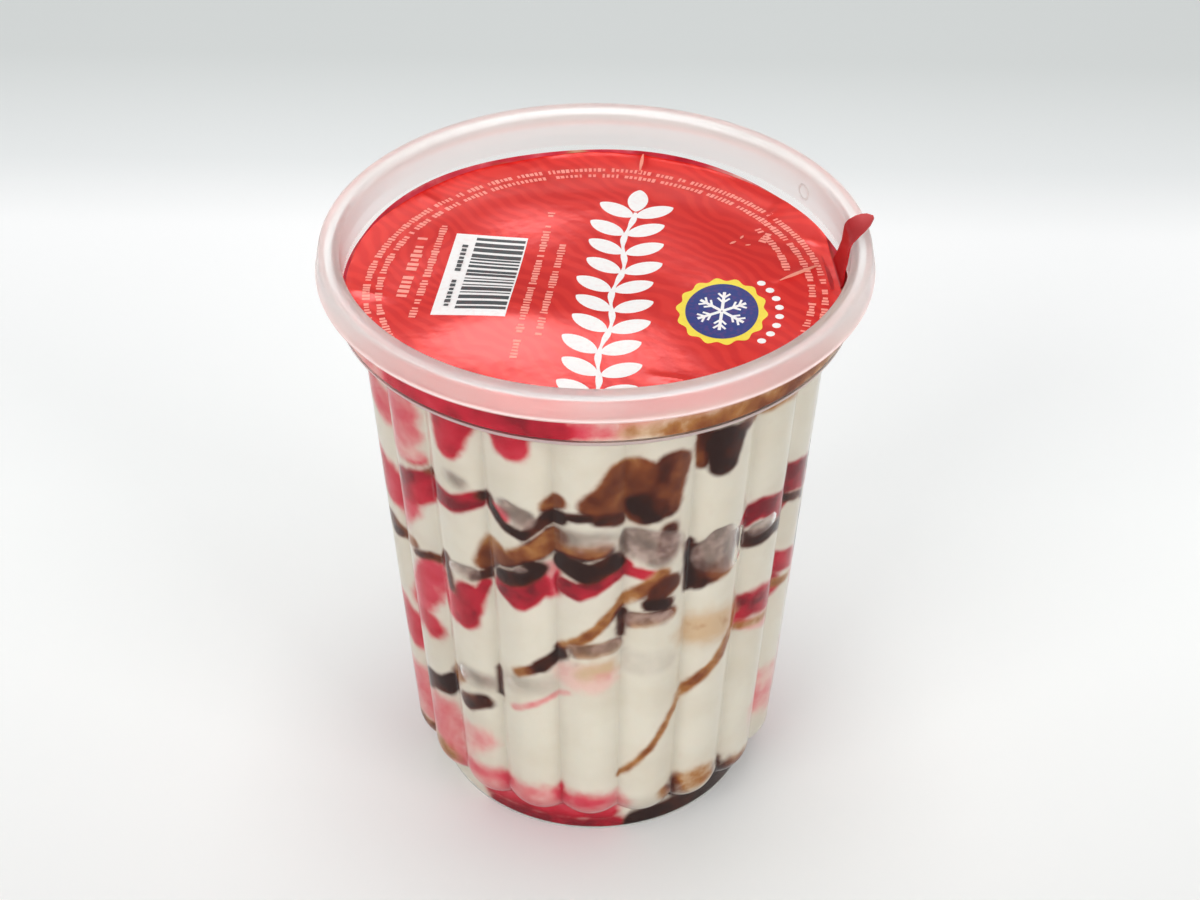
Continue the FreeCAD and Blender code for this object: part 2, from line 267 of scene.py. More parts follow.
def full_turn(steps):
    """Angles in radians, evenly round a circle."""
    return np.radians(np.linspace(0, 360, steps, endpoint=False))


def round_axis(bearing, radius, height):
    """Points at a bearing in radians, a distance from the cup's axis and a height."""
    parts = np.broadcast_arrays(radius * np.sin(bearing), -radius * np.cos(bearing), height)
    return np.stack(parts, axis=-1)


def net(rows, wide, loop=True, ring=False):
    """Faces between rows of points. A loop joins each row's ends, a ring the last row to the first."""
    index = np.pad(np.arange(rows * wide).reshape(rows, wide), ((0, int(ring)), (0, int(loop))), "wrap")
    quads = np.stack((index[:-1, :-1], index[:-1, 1:], index[1:, 1:], index[1:, :-1]), axis=-1)
    return quads.reshape(-1, 4).tolist()


def skin(rings, columns):
    """Points and faces of a closed skin through rings of (radius per column, height)."""
    points = [round_axis(np.radians(columns), radius, height) for radius, height in rings]
    poles = [(0, 0, np.mean(rings[end][1])) for end in (0, -1)]
    count = len(columns)
    first, last = len(rings) * count, len(rings) * count + 1
    pairs = [(step, (step + 1) % count) for step in range(count)]
    faces = net(len(rings), count)
    faces += [(first, b, a) for a, b in pairs]
    faces += [(last, first - count + a, first - count + b) for a, b in pairs]
    return np.concatenate((*points, poles)), faces


def shade(piece, sharp_angle):
    """Smooth shading, with the edges past an angle kept sharp."""
    for polygon in piece.data.polygons:
        polygon.use_smooth = True
    piece.data.set_sharp_from_angle(angle=np.radians(sharp_angle))


def start_group(kind, name, inputs, outputs):
    """A node group, which is built in next, with its input sockets and its output node."""
    group = bpy.data.node_groups.new(name, kind + "NodeTree")
    for in_out, sockets in (("INPUT", inputs), ("OUTPUT", outputs)):
        for socket_kind, names in sockets.items():
            for socket in names:
                socket_type = "NodeSocket" + socket_kind
                group.interface.new_socket(socket, in_out=in_out, socket_type=socket_type)
    build_in(group)
    return group, nodes.new("NodeGroupInput").outputs, nodes.new("NodeGroupOutput")


def start_tree(name, inputs):
    """A Geometry Nodes tree with the given inputs besides its geometry."""
    geometry = {"Geometry": ("Geometry",)}
    return start_group("Geometry", name, {**geometry, **inputs}, geometry)


# fine relief: flow marks in the plastic, grain in the ice cream, dimples in the foil
fine_relief, given, result = start_group(
    "Shader", "fine_relief", {"Float": ("Scale", "Strength", "Depth")}, {"Vector": ("Normal",)},
)
marks = {"Vector": object_place(), "Scale": given["Scale"], "Detail": 3}
set_inputs(result, {"Normal": add_node("ShaderNodeBump", {
    "Height": add_node("ShaderNodeTexNoise", marks, "Fac"),
    "Strength": given["Strength"],
    "Distance": given["Depth"],
})})


def add_relief(scale, strength, depth):
    """Puts the fine relief on the shader of the material being built."""
    values = {"Scale": scale, "Strength": strength, "Depth": depth}
    normal = add_node("ShaderNodeGroup", values, node_tree=fine_relief)
    set_inputs(nodes["Principled BSDF"], {"Normal": normal})


def make_plastic(name, colour, ior, clear, roughness, shadow):
    """Polypropylene that lamps shine through: clear plastic, milky where it is less clear, and copies
    with painted light and shade.
    """
    material, shader = new_material(name, {
        "Base Color": (*colour, 1),
        "Roughness": roughness,
        "IOR": ior,
        "Transmission Weight": clear,
    })
    lamp_ray = add_node("ShaderNodeLightPath", output="Is Shadow Ray")
    through = add_node("ShaderNodeBsdfTransparent", {"Color": (shadow, shadow, shadow, 1)})
    choice = add_node("ShaderNodeMixShader", {"Fac": lamp_ray, 1: shader.outputs["BSDF"], 2: through})
    set_inputs(nodes["Material Output"], {"Surface": choice})
    add_relief(160, 0.06, 0.0004)
    return material


clear_plastic = make_plastic("clear_polypropylene", (0.98, 0.975, 0.96), 1.27, 1.0, 0.08, 1.0)
milky_plastic = make_plastic("milky_polypropylene", (0.97, 0.945, 0.925), 1.34, 0.91, 0.36, 0.9)
# the shoulder's copy is more diffuse and pink-tinted, painted light over the shade under the collar;
# the skirt edge's copy is darker pink, painted shade that dims the highlight along it
shoulder_painted_light_plastic = make_plastic("shoulder_painted_light_polypropylene", (0.88, 0.74, 0.72), 1.3, 0.55, 0.5, 0.85)
skirt_edge_painted_shade_plastic = make_plastic("skirt_edge_painted_shade_polypropylene", (0.70, 0.52, 0.50), 1.3, 0.15, 0.5, 0.8)


def shape_by_tree(piece, tree, values):
    """Runs a tree on a piece with the given values and keeps the result as the piece's plain mesh."""
    modifier = piece.modifiers.new("shape", "NODES")
    modifier.node_group = tree
    for item in tree.interface.items_tree:
        if item.in_out == "INPUT" and item.name in values:
            modifier[item.identifier] = values[item.name]
    bpy.context.view_layer.update()
    shaped = piece.evaluated_get(bpy.context.evaluated_depsgraph_get())
    mesh = bpy.data.meshes.new_from_object(shaped)
    piece.modifiers.remove(modifier)
    piece.data = mesh


def grow(foot, top, rise):
    """A size that changes evenly from its value at the foot to that at the top."""
    return calculate("MULTIPLY_ADD", calculate("SUBTRACT", top, foot), rise, foot)


def left_of_square(square, length):
    """A squared length less the square of another."""
    return calculate("SUBTRACT", square, calculate("MULTIPLY", length, length))


def round_over(first, second, rounding):
    """The larger of two lengths, with the corner between them rounded."""
    gap = calculate("SUBTRACT", first, second)
    square = calculate("MULTIPLY_ADD", gap, gap, calculate("MULTIPLY", rounding, rounding))
    total = calculate("ADD", calculate("ADD", first, second), calculate("SQRT", square))
    return calculate("MULTIPLY", total, 0.5)


FLUTED_WALL = {
    "Flutes": float(FLUTES),
    "Circle At Foot": 20.4 * MM,
    "Circle At Top": 23.55 * MM,
    "Flute Radius At Foot": 5.4 * MM,
    "Flute Radius At Top": 6.67 * MM,
    "Ball Height": BALL_Z * MM,
    "Top Height": SHOULDER_Z * MM,
    "Core Radius": FOOT_RADIUS * MM,
    "Core Flare": 0.0802,
    "Valley Rounding": 0.3 * MM,
}
BEFORE_FLUTING = 28.0

# The fluting: every point marked as fluted moves out or in, along its bearing, to the surface that
# lies its inset inside the outer one. A flute is a leaning cylinder with a ball end.
sockets = {"Float": FLUTED_WALL, "Material": ("Material",)}
fluting, given, result = start_tree("fluted_wall", sockets)
inset, fluted = [
    add_node("GeometryNodeInputNamedAttribute", {"Name": mark}, "Attribute", data_type="FLOAT")
    for mark in ("inset", "fluted")
]
here = add_node("ShaderNodeSeparateXYZ", {"Vector": add_node("GeometryNodeInputPosition")}).node.outputs
bearing = calculate("ARCTAN2", here["X"], calculate("MULTIPLY", here["Y"], -1.0))
pitch = calculate("DIVIDE", 2 * np.pi, given["Flutes"])
half_pitch = calculate("MULTIPLY", pitch, 0.5)
near = calculate("WRAP", bearing, half_pitch, calculate("MULTIPLY", half_pitch, -1.0))
near = calculate("ABSOLUTE", near)
rise = calculate("SUBTRACT", here["Z"], given["Ball Height"])
rise = calculate("DIVIDE", rise, calculate("SUBTRACT", given["Top Height"], given["Ball Height"]))
rise = calculate("MAXIMUM", rise, 0.0)
circle = grow(given["Circle At Foot"], given["Circle At Top"], rise)
flute = grow(given["Flute Radius At Foot"], given["Flute Radius At Top"], rise)
flute = calculate("SUBTRACT", flute, inset)
below = calculate("MAXIMUM", calculate("SUBTRACT", given["Ball Height"], here["Z"]), 0.0)
below = calculate("MINIMUM", below, flute)
square = left_of_square(calculate("MULTIPLY", flute, flute), below)
reaches = []
for off in (near, calculate("SUBTRACT", pitch, near)):
    aside = calculate("MULTIPLY", circle, calculate("SINE", off))
    chord = calculate("SQRT", calculate("MAXIMUM", left_of_square(square, aside), 0.0))
    reaches.append(calculate("MULTIPLY_ADD", circle, calculate("COSINE", off), chord))
core = calculate("MULTIPLY_ADD", given["Core Flare"], here["Z"], given["Core Radius"])
core = calculate("SUBTRACT", core, inset)
rounding = given["Valley Rounding"]
radius = round_over(round_over(*reaches, rounding), core, rounding)
forward = calculate("MULTIPLY", radius, calculate("COSINE", bearing))
there = add_node("ShaderNodeCombineXYZ", {
    "X": calculate("MULTIPLY", radius, calculate("SINE", bearing)),
    "Y": calculate("MULTIPLY", forward, -1.0),
    "Z": here["Z"],
})
moves = {"Geometry": given["Geometry"], "Selection": fluted, "Position": there}
wall = add_node("GeometryNodeSetPosition", moves)
wall = add_node("GeometryNodeRealizeInstances", {"Geometry": wall})
wall = add_node("GeometryNodeSetMaterial", {"Geometry": wall, "Material": given["Material"]})
set_inputs(result, {"Geometry": wall})


def paint(piece, name, values):
    """A value on each point of a piece's mesh."""
    layer = piece.data.attributes.new(name, "FLOAT", "POINT")
    layer.data.foreach_set("value", np.asarray(values, np.float32))


def add_fluted_piece(name, rings, material):
    """A closed skin whose rings are round, (radius, height), or fluted, (None, height, inset)."""
    plain = [(BEFORE_FLUTING if ring[0] is None else ring[0], ring[1]) for ring in rings]
    piece = add_piece(name, *skin(plain, columns))
    insets = [np.broadcast_to(ring[2] * MM if ring[0] is None else 0, columns.shape) for ring in rings]
    fluted = [np.full(columns.shape, ring[0] is None) for ring in rings]
    for mark, values in (("inset", insets), ("fluted", fluted)):
        paint(piece, mark, np.concatenate((*values, (0, 0))))
    shape_by_tree(piece, fluting, {**FLUTED_WALL, "Material": material})
    for mark in ("inset", "fluted"):
        piece.data.attributes.remove(piece.data.attributes[mark])
    return piece


# the profile: under the foot, up the fluted wall, and out and up round the shoulder and the collar
columns = flute_bearings()
wall_heights = [*np.linspace(FOOT_ROUNDING, BALL_Z, 30), *np.linspace(BALL_Z, 74.7, 26)[1:]]
rings = [(19.9, 0.6), (20.5, 0.0)]
rings += bend((FOOT_RADIUS - FOOT_ROUNDING, FOOT_ROUNDING), FOOT_ROUNDING, -90, 0)[:-1]
rings += [(None, height, 0) for height in wall_heights]
rings += [(None, SHOULDER_Z - 0.12, -0.1), (None, SHOULDER_Z, -0.35)]
shoulder = (len(rings) - 1, len(rings) + 4)
shoulder_centre = (COLLAR_RADIUS - SHOULDER_ROUNDING, SHOULDER_Z + SHOULDER_ROUNDING)
rings += bend(shoulder_centre, SHOULDER_ROUNDING, -90, 0)
rings += [(COLLAR_RADIUS, height) for height in (77.2, 78.6, 79.6)]
milky_from = len(rings) - 1
rings += [(COLLAR_RADIUS, height) for height in (80.3, 81.6)]
# out under the roll, down to the skirt's lower edge, over the rim, and down inside to the seat
rings += bend((COLLAR_RADIUS + ROLL_ROUNDING, ROLL_Z - ROLL_ROUNDING), ROLL_ROUNDING, 180, 90, 3)
rings += [(33.75, ROLL_Z)]
skirt_from = len(rings)
rings += bend((34.35, SKIRT_Z + SKIRT_INNER_ROUNDING), SKIRT_INNER_ROUNDING, 180, 270, 3)
skirt_corner = (RIM_RADIUS - SKIRT_OUTER_ROUNDING, SKIRT_Z + SKIRT_OUTER_ROUNDING)
rings += bend(skirt_corner, SKIRT_OUTER_ROUNDING, -90, 8, 6)
skirt_edge = (skirt_from, len(rings) - 1)
rings += bend((RIM_TOP_RADIUS - RIM_ROUNDING, CUP_HEIGHT - RIM_ROUNDING), RIM_ROUNDING, 8, 90, 7)
rings += bend((COLLAR_BORE + RIM_ROUNDING, CUP_HEIGHT - RIM_ROUNDING), RIM_ROUNDING, 90, 180, 7)
rings += [(COLLAR_BORE, height) for height in (81.4, 80.0, 79.0, 78.2)]
milky_rim = (milky_from, len(rings) - 1)
rings += [(COLLAR_BORE, 77.3)]
rings += bend((COLLAR_BORE - ROLL_ROUNDING, SEAT_Z + ROLL_ROUNDING), ROLL_ROUNDING, 0, -90, 3)
inner_heights = [height for height in wall_heights[::-1] if height > FLOOR_Z]
rings += [(None, height, WALL) for height in (SEAT_Z, *inner_heights, FLOOR_Z)]
rings += [(FOOT_RADIUS * 0.5, FLOOR_Z)]

cup = add_fluted_piece("cup_shell", rings, clear_plastic)
# the shoulder and the skirt's lower edge take the copies with painted light and painted shade
for (first, last), plastic in (
    (milky_rim, milky_plastic),
    (shoulder, shoulder_painted_light_plastic),
    (skirt_edge, skirt_edge_painted_shade_plastic),
):
    cup.data.materials.append(plastic)
    for polygon in cup.data.polygons[first * len(columns):last * len(columns)]:
        polygon.material_index = len(cup.data.materials) - 1
shade(cup, 38)
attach(cup, "root")
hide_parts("cup")

# a small ring that the mould leaves in relief on the collar's inner side
MARK_BEARING, MARK_Z, MARK_RADIUS, MARK_HALF = 122.5, 80.1, 1.0, 0.16
MARK_STEPS, MARK_SIDES = 36, 8
step, side = np.meshgrid(full_turn(MARK_STEPS), full_turn(MARK_SIDES), indexing="ij")
out = MARK_RADIUS + MARK_HALF * np.cos(side)
bearing = np.radians(MARK_BEARING) + out * np.cos(step) / COLLAR_BORE
radius = COLLAR_BORE - MARK_HALF * (0.2 + 0.8 * np.sin(side))
mark_points = round_axis(bearing, radius, MARK_Z + out * np.sin(step)).reshape(-1, 3)
mark = add_piece("collar_mould_ring", mark_points, net(MARK_STEPS, MARK_SIDES, ring=True))
shade(mark, 80)
mark.data.materials.append(milky_plastic)
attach(mark, "root")

# ----------------------------------------------------------
# The ice cream: vanilla piped in a slow turn, with ribbons of strawberry and chocolate sauce that
# the flutes press into hanging loops. It lies against the wall except at small air pockets, and the
# lid squeezed its top out over the seat and a little way up the collar.
# ----------------------------------------------------------

BITE = 0.05
FOOT_RING_Z = 0.25
FOOT_BITE = 0.17
POCKET_DEPTH, POCKET_EDGE = 0.8, 0.3
MM_PER_DEGREE = 0.49

# Sauce as it lies against the wall. Each stroke is: richness, half widths in mm at its two ends, how
# softly it ends in mm, and its points as (bearing, height)
STRAWBERRY = [
    # squeezed out at the collar, and hanging from it
    (0.85, 2.6, 2.6, 1.2, (-44, 76.6), (-26, 76.4), (-8, 76.8)),
    (0.5, 1.6, 0.8, 1.4, (-8, 76.9), (2, 77.2), (14, 77.4)),
    (0.34, 1.8, 2.6, 2.4, (-84, 76.4), (-50, 76.2)),
    (0.3, 0.7, 0.7, 1.4, (8, 78.6), (66, 78.9)),
    (0.56, 2.3, 2.0, 1.6, (-73.5, 69.5), (-70, 66)),
    (0.8, 3.5, 1.8, 1.2, (-34.8, 74), (-36.6, 68)),
    (0.8, 3.3, 2.1, 1.2, (-19.2, 74.4), (-18.6, 71.4)),
    (0.5, 2.2, 3.0, 1.8, (-55, 73), (-54, 69)),
    (0.4, 2.2, 2.6, 1.6, (-72, 67), (-66, 65)),
    (0.5, 2.0, 2.6, 1.8, (-54, 69), (-53, 66)),
    (0.34, 1.8, 1.4, 1.6, (-58, 63), (-50, 62.4)),
    # the second turn
    (0.55, 2.4, 2.0, 1.6, (-62, 50), (-55, 53.5)),
    (0.85, 1.8, 2.0, 1.0, (-56, 55), (-47.5, 57.5)),
    (1.0, 1.6, 0.9, 1.0, (-55, 57.6), (-45, 60.4)),
    (0.95, 1.7, 1.2, 0.8, (-43, 59), (-36.5, 58.8), (-29.5, 60.6)),
    (0.6, 1.0, 1.0, 0.8, (-25.5, 60.6), (-22, 59.6)),
    (0.7, 3.2, 3.2, 1.8, (-75, 54), (-67, 51.4)),
    (0.94, 1.7, 1.8, 0.8, (45.4, 54), (50, 55.2), (56, 54), (62.6, 51.2)),
    (0.97, 2.5, 2.3, 0.8, (63.6, 55), (71, 54.2), (81, 51)),
    # the third turn
    (0.97, 1.4, 1.4, 0.8, (-6.5, 49.2), (-2.5, 48.6), (4, 50.6), (9, 52.2)),
    (0.85, 0.9, 0.9, 0.8, (9, 51.8), (16, 50.9)),
    (0.92, 2.0, 2.0, 0.8, (-21.5, 47.4), (-18.4, 46.2), (-14.6, 48.4)),
    (0.32, 1.4, 1.4, 1.2, (-10, 51.5), (-10, 48)),
    (0.88, 2.2, 2.4, 1.0, (-34.5, 43.5), (-36.6, 39.6)),
    (0.85, 1.0, 0.8, 0.9, (-33, 42), (-29.4, 46.5)),
    (0.45, 2.2, 1.6, 1.6, (-44, 43), (-41, 39)),
    (0.6, 2.6, 2.8, 1.8, (-61, 33), (-55, 38), (-48, 43)),
    (0.8, 1.8, 2.0, 1.6, (-56, 34.5), (-52, 32.6)),
    (0.75, 3.2, 3.2, 1.8, (-75, 29), (-67, 26)),
    (0.9, 2.3, 2.4, 1.2, (46.4, 38.2), (53, 38.2), (62.8, 36.6)),
    (0.4, 0.8, 0.8, 1.2, (44, 36), (62, 32)),
    (0.86, 1.8, 1.6, 0.9, (64, 40.6), (70, 39.4), (81, 37)),
    (0.22, 2.2, 2.2, 2.2, (-5, 33.2), (3, 33)),
    (0.42, 0.5, 0.4, 0.8, (-22, 25.4), (-14, 27.6), (-6, 29.8)),
    # at the bottom
    (0.44, 5.0, 5.0, 3.0, (-88, 14), (-52, 14)),
    (0.3, 3.0, 2.0, 2.6, (-44, 14), (-35, 16.5)),
    (0.42, 3.6, 3.2, 2.6, (-50, 7.6), (-20, 7.0), (6, 6.6)),
    (0.62, 1.6, 1.6, 1.8, (-48, 6.4), (-42, 8.6)),
    (0.6, 1.2, 1.6, 1.8, (-27, 7.5), (-20, 5.6)),
    (0.72, 2.0, 2.0, 2.0, (-40, 3.5), (6, 3.5)),
    (0.98, 1.6, 1.6, 1.8, (-37, 0.6), (-26, 0.8), (10, 0.8)),
    (0.8, 0.7, 0.7, 1.4, (-27, 9.5), (-27, 2)),
    (0.8, 0.7, 0.7, 1.4, (-9, 10.5), (-9, 2)),
    (0.66, 1.2, 1.2, 1.8, (-3, 8.2), (2, 8.4)),
    (0.3, 4.0, 4.0, 3.0, (66, 16), (84, 14)),
]
CHOCOLATE = [
    # squeezed out at the collar, and hanging from it
    (0.4, 1.0, 1.6, 1.6, (8, 77.2), (24, 76.6)),
    (0.56, 1.7, 1.6, 1.4, (24, 76.4), (45, 76.8), (58, 77.2)),
    (0.42, 1.4, 1.2, 1.6, (56, 76.8), (84, 76.6)),
    (0.5, 0.7, 0.6, 1.0, (44, 71.4), (53, 72), (64, 70.4)),
    # the second turn
    (0.62, 1.8, 2.3, 1.0, (1, 63.2), (5, 65.2), (8.6, 67.6)),
    (0.62, 2.0, 2.0, 1.0, (3.6, 62.2), (8.8, 63)),
    (0.9, 1.1, 1.1, 0.8, (3, 61), (7.4, 60.4)),
    (0.66, 2.6, 3.0, 0.9, (12.5, 67.8), (13.5, 62.6)),
    (0.7, 2.4, 2.2, 0.9, (20.4, 68.6), (18.6, 62.6)),
    (0.85, 1.3, 1.3, 1.4, (18.4, 69), (18.4, 66)),
    (1.0, 2.2, 2.3, 0.9, (13.2, 62.8), (15.8, 62.2)),
    (1.0, 2.7, 1.9, 0.8, (34.6, 69.9), (34.4, 66.6)),
    (0.68, 1.2, 0.9, 0.9, (28.8, 70.4), (28.8, 67.2)),
    (0.8, 0.9, 0.9, 0.9, (28.5, 71.6), (41.5, 71.4)),
    (0.6, 1.6, 1.6, 1.2, (13.5, 67), (19.5, 68)),
    (0.92, 1.0, 1.7, 0.8, (28.4, 53), (30.2, 47.6)),
    (0.88, 0.7, 0.8, 0.7, (-7, 61), (0, 61.5), (5, 61.2)),
    (1.0, 1.1, 1.2, 0.7, (-11, 60), (-7.4, 60.6)),
    (0.62, 1.1, 1.2, 0.9, (-10.4, 62), (-7.6, 63.2)),
    (0.97, 0.7, 0.9, 0.7, (-25.5, 60.4), (-21.5, 58.1), (-16.6, 57.2), (-12, 59.6)),
    (0.85, 0.8, 0.8, 0.8, (-28.4, 61.2), (-25.8, 61.6)),
    (0.8, 0.4, 0.6, 0.9, (-47.4, 60.6), (-43.6, 61.4)),
    (0.9, 0.7, 0.6, 0.7, (63.8, 51.8), (72, 50.2), (82, 46.8)),
    (0.95, 1.5, 0.8, 0.8, (46.6, 50.2), (51, 49.8), (57, 50), (62, 48.6)),
    (0.5, 1.2, 1.2, 1.0, (-4.6, 55.2), (4, 55.4)),
    (0.75, 1.1, 1.4, 0.9, (20.4, 58.4), (20.4, 54.6)),
    # the third turn
    (1.0, 1.7, 1.7, 0.8, (-6, 53.2), (0, 51.9), (6.4, 53.4)),
    (0.6, 1.6, 2.0, 1.0, (-28.6, 50), (-25.6, 53)),
    (0.58, 1.2, 2.0, 1.0, (-23, 52), (-16, 54), (-9, 56.8)),
    (0.5, 1.6, 1.2, 1.0, (-9, 56), (-5, 55)),
    (0.92, 0.6, 0.9, 0.7, (-33, 46.9), (-27.6, 48.4)),
    (1.0, 1.3, 1.5, 0.8, (-22.8, 49.2), (-18, 49.8), (-14, 51.6)),
    (0.8, 0.6, 0.8, 0.8, (-55, 45), (-49, 46), (-45, 45.8), (-41.2, 48.4)),
    (0.8, 0.8, 0.7, 1.0, (-41.4, 47.4), (-40.2, 43.2)),
    (0.7, 1.3, 1.0, 1.0, (-72, 45), (-66, 44)),
    (1.0, 0.9, 1.0, 0.7, (26.8, 54.2), (27.4, 46.8)),
    (0.6, 1.5, 1.4, 1.2, (31, 48), (38, 48.4)),
    (0.48, 1.0, 1.2, 1.0, (9, 46.4), (14, 48.2), (19, 50.6)),
    (0.8, 1.9, 1.5, 0.8, (20.6, 48.8), (18, 47.2)),
    (0.95, 1.2, 1.2, 0.8, (16.4, 45.8), (20.4, 45.6)),
    (0.5, 1.3, 1.3, 1.0, (12, 43), (21, 43.6)),
    (0.96, 0.9, 0.7, 0.8, (9, 44.2), (8.6, 40.4)),
    (0.5, 0.8, 0.9, 0.8, (-8.4, 37.6), (0, 41), (8.4, 45.8)),
    (0.45, 1.2, 1.2, 1.0, (-3, 38), (6.6, 38.6)),
    (0.97, 1.2, 1.0, 0.8, (-13.6, 34.4), (-7.4, 36.8)),
    (0.55, 0.8, 0.8, 0.9, (-20, 32.6), (-14, 34.2)),
    (0.42, 0.6, 0.6, 1.1, (46, 34.8), (54, 34.4), (60, 33.6)),
    (0.45, 0.7, 0.7, 0.9, (63.6, 36.8), (74, 35.6)),
    (0.22, 2.6, 2.6, 3.0, (30.6, 38.8), (39, 38.4)),
    (0.2, 1.0, 1.0, 2.6, (-1, 34.2), (5, 35)),
    (0.9, 1.0, 1.0, 0.8, (-70, 43.6), (-68, 43.8)),
    (0.5, 0.9, 0.9, 1.0, (-61, 46), (-55, 46.4)),
    # the fourth turn, and the thin ribbon that climbs across four flutes
    (0.97, 1.6, 1.6, 0.8, (-55.6, 21.8), (-50, 22), (-46.4, 23.6)),
    (0.82, 0.7, 0.8, 0.8, (-63.4, 16.4), (-62, 18.6), (-56, 20.6)),
    (0.56, 1.3, 1.3, 1.0, (-44.6, 25.2), (-41.6, 27)),
    (0.88, 1.5, 1.3, 0.9, (-38.8, 22.8), (-32.6, 24.2)),
    (0.92, 0.7, 0.7, 0.8, (-27.2, 31), (-27.2, 26.6)),
    (0.46, 0.45, 0.7, 0.8, (8.8, 13), (18, 18.6), (24, 23.7), (27.2, 26.7)),
    (0.5, 0.9, 1.1, 0.9, (27.2, 26.9), (32.4, 29.4), (38.4, 32), (41.6, 34.4)),
    (0.42, 0.9, 0.7, 1.0, (41.6, 34.4), (45, 37.8)),
    # at the bottom
    (0.62, 1.4, 1.2, 1.0, (-72, 7.6), (-66, 7.4)),
    (0.5, 1.0, 1.4, 1.8, (-58, 9.6), (-52, 8)),
    (0.97, 2.6, 2.6, 1.2, (17, 0.4), (40, 1.6), (80, 2.0)),
    (0.4, 1.6, 1.6, 2.2, (33, 8), (39, 8.4)),
    (0.62, 1.6, 1.6, 2.2, (50, 7), (60, 6.4)),
    (0.42, 1.2, 1.6, 1.2, (24, 8.4), (27, 7)),
    (0.38, 1.4, 1.4, 2.0, (29, 9.6), (38, 10)),
    (0.85, 0.7, 0.8, 1.2, (27.4, 9.4), (28.8, 6), (33, 4)),
    (0.92, 0.8, 0.9, 1.2, (45.8, 9.4), (47.6, 6), (53, 4.6)),
]
# Air pockets, listed like the strokes: the richer ones are dented into the ice cream, and all are
# coloured darker there, as painted shade
POCKETS = [
    (0.55, 1.3, 1.4, 1.1, (-36.4, 63.2), (-34.4, 62.6)),
    (0.7, 1.3, 1.7, 0.9, (-20.8, 61.4), (-16.8, 60)),
    (0.55, 1.9, 1.9, 1.5, (-4.6, 57.4), (3.4, 57.2)),
    (0.8, 2.8, 2.9, 1.2, (12.8, 56.2), (19.2, 55)),
    (0.76, 3.0, 3.2, 1.0, (34.2, 51.8), (39.2, 51)),
    (0.8, 1.6, 1.6, 0.6, (35, 54.2), (37, 54.2)),
    (0.6, 1.2, 1.2, 0.8, (49.6, 51.6), (54, 51.8)),
    (0.7, 1.2, 1.2, 0.8, (-37.6, 47.4), (-33, 47.6)),
    (0.6, 0.5, 0.5, 0.6, (-18.6, 51.2), (-16.8, 51.4)),
    (0.66, 1.2, 1.2, 0.9, (12, 43.2), (20.6, 43)),
    (0.62, 1.2, 1.3, 1.0, (-4, 38), (7, 38.6)),
    (0.55, 1.7, 1.7, 1.6, (-38, 28.2), (-31.6, 28)),
    (0.4, 2.0, 2.0, 2.2, (-22.6, 30.2), (-13, 30.8)),
    (0.25, 2.6, 2.6, 1.4, (13, 35.4), (20, 35)),
    (0.2, 2.6, 2.6, 1.4, (15, 7), (22, 7)),
]
# The turns of sauce go on round the back, from one bearing and height to another
BACK_TURNS = [
    ((86, 51), (184, 73)),
    ((86, 37), (277, 65)),
    ((100, 20), (277, 48)),
    ((172, 10), (277, 27)),
]


def brush(bearings, heights, strokes):
    """How far a sauce covers each place, and how rich it is there: that of the stroke it lies in.

    Where strokes meet, the richer and the nearer ones weigh more.
    """
    cover = np.zeros(np.shape(bearings))
    weights, tones = np.full(cover.shape, 1e-9), np.zeros(cover.shape)
    for richness, start_half, end_half, softness, *points in strokes:
        points = np.array(points, float)
        middle = points[:, 0].mean()
        across = ((bearings - middle + 180) % 360 - 180) * MM_PER_DEGREE
        points[:, 0] = (points[:, 0] - middle) * MM_PER_DEGREE
        halves = np.linspace(start_half, end_half, len(points))
        for first in range(len(points) - 1):
            start, run = points[first], points[first + 1] - points[first]
            along = ((across - start[0]) * run[0] + (heights - start[1]) * run[1]) / (run @ run)
            along = np.clip(along, 0, 1)
            gap = np.hypot(across - start[0] - run[0] * along, heights - start[1] - run[1] * along)
            half = halves[first] + (halves[first + 1] - halves[first]) * along
            outside = (gap - half) / softness
            reach = np.clip((1 - outside) / 2, 0, 1)
            cover = np.maximum(cover, reach * reach * (3 - 2 * reach))
            weight = np.exp(7 * richness - 3.5 * np.clip(outside, -1, 6))
            weights += weight
            tones += weight * richness
    return cover, tones / weights


def hang(crown, level, drop, half, climb):
    """Half widths and points of a loop that hangs on one flute, pinched in the valleys beside it."""
    valley = FLUTE_TURN / 2
    left, right = (crown - valley, level - climb * valley), (crown + valley, level + climb * valley)
    return [
        ((half * 0.5, half), [left, (crown - 4, level - drop * 0.6), (crown, level - drop)]),
        ((half, half * 0.5), [(crown, level - drop), (crown + 4, level - drop * 0.55), right]),
    ]


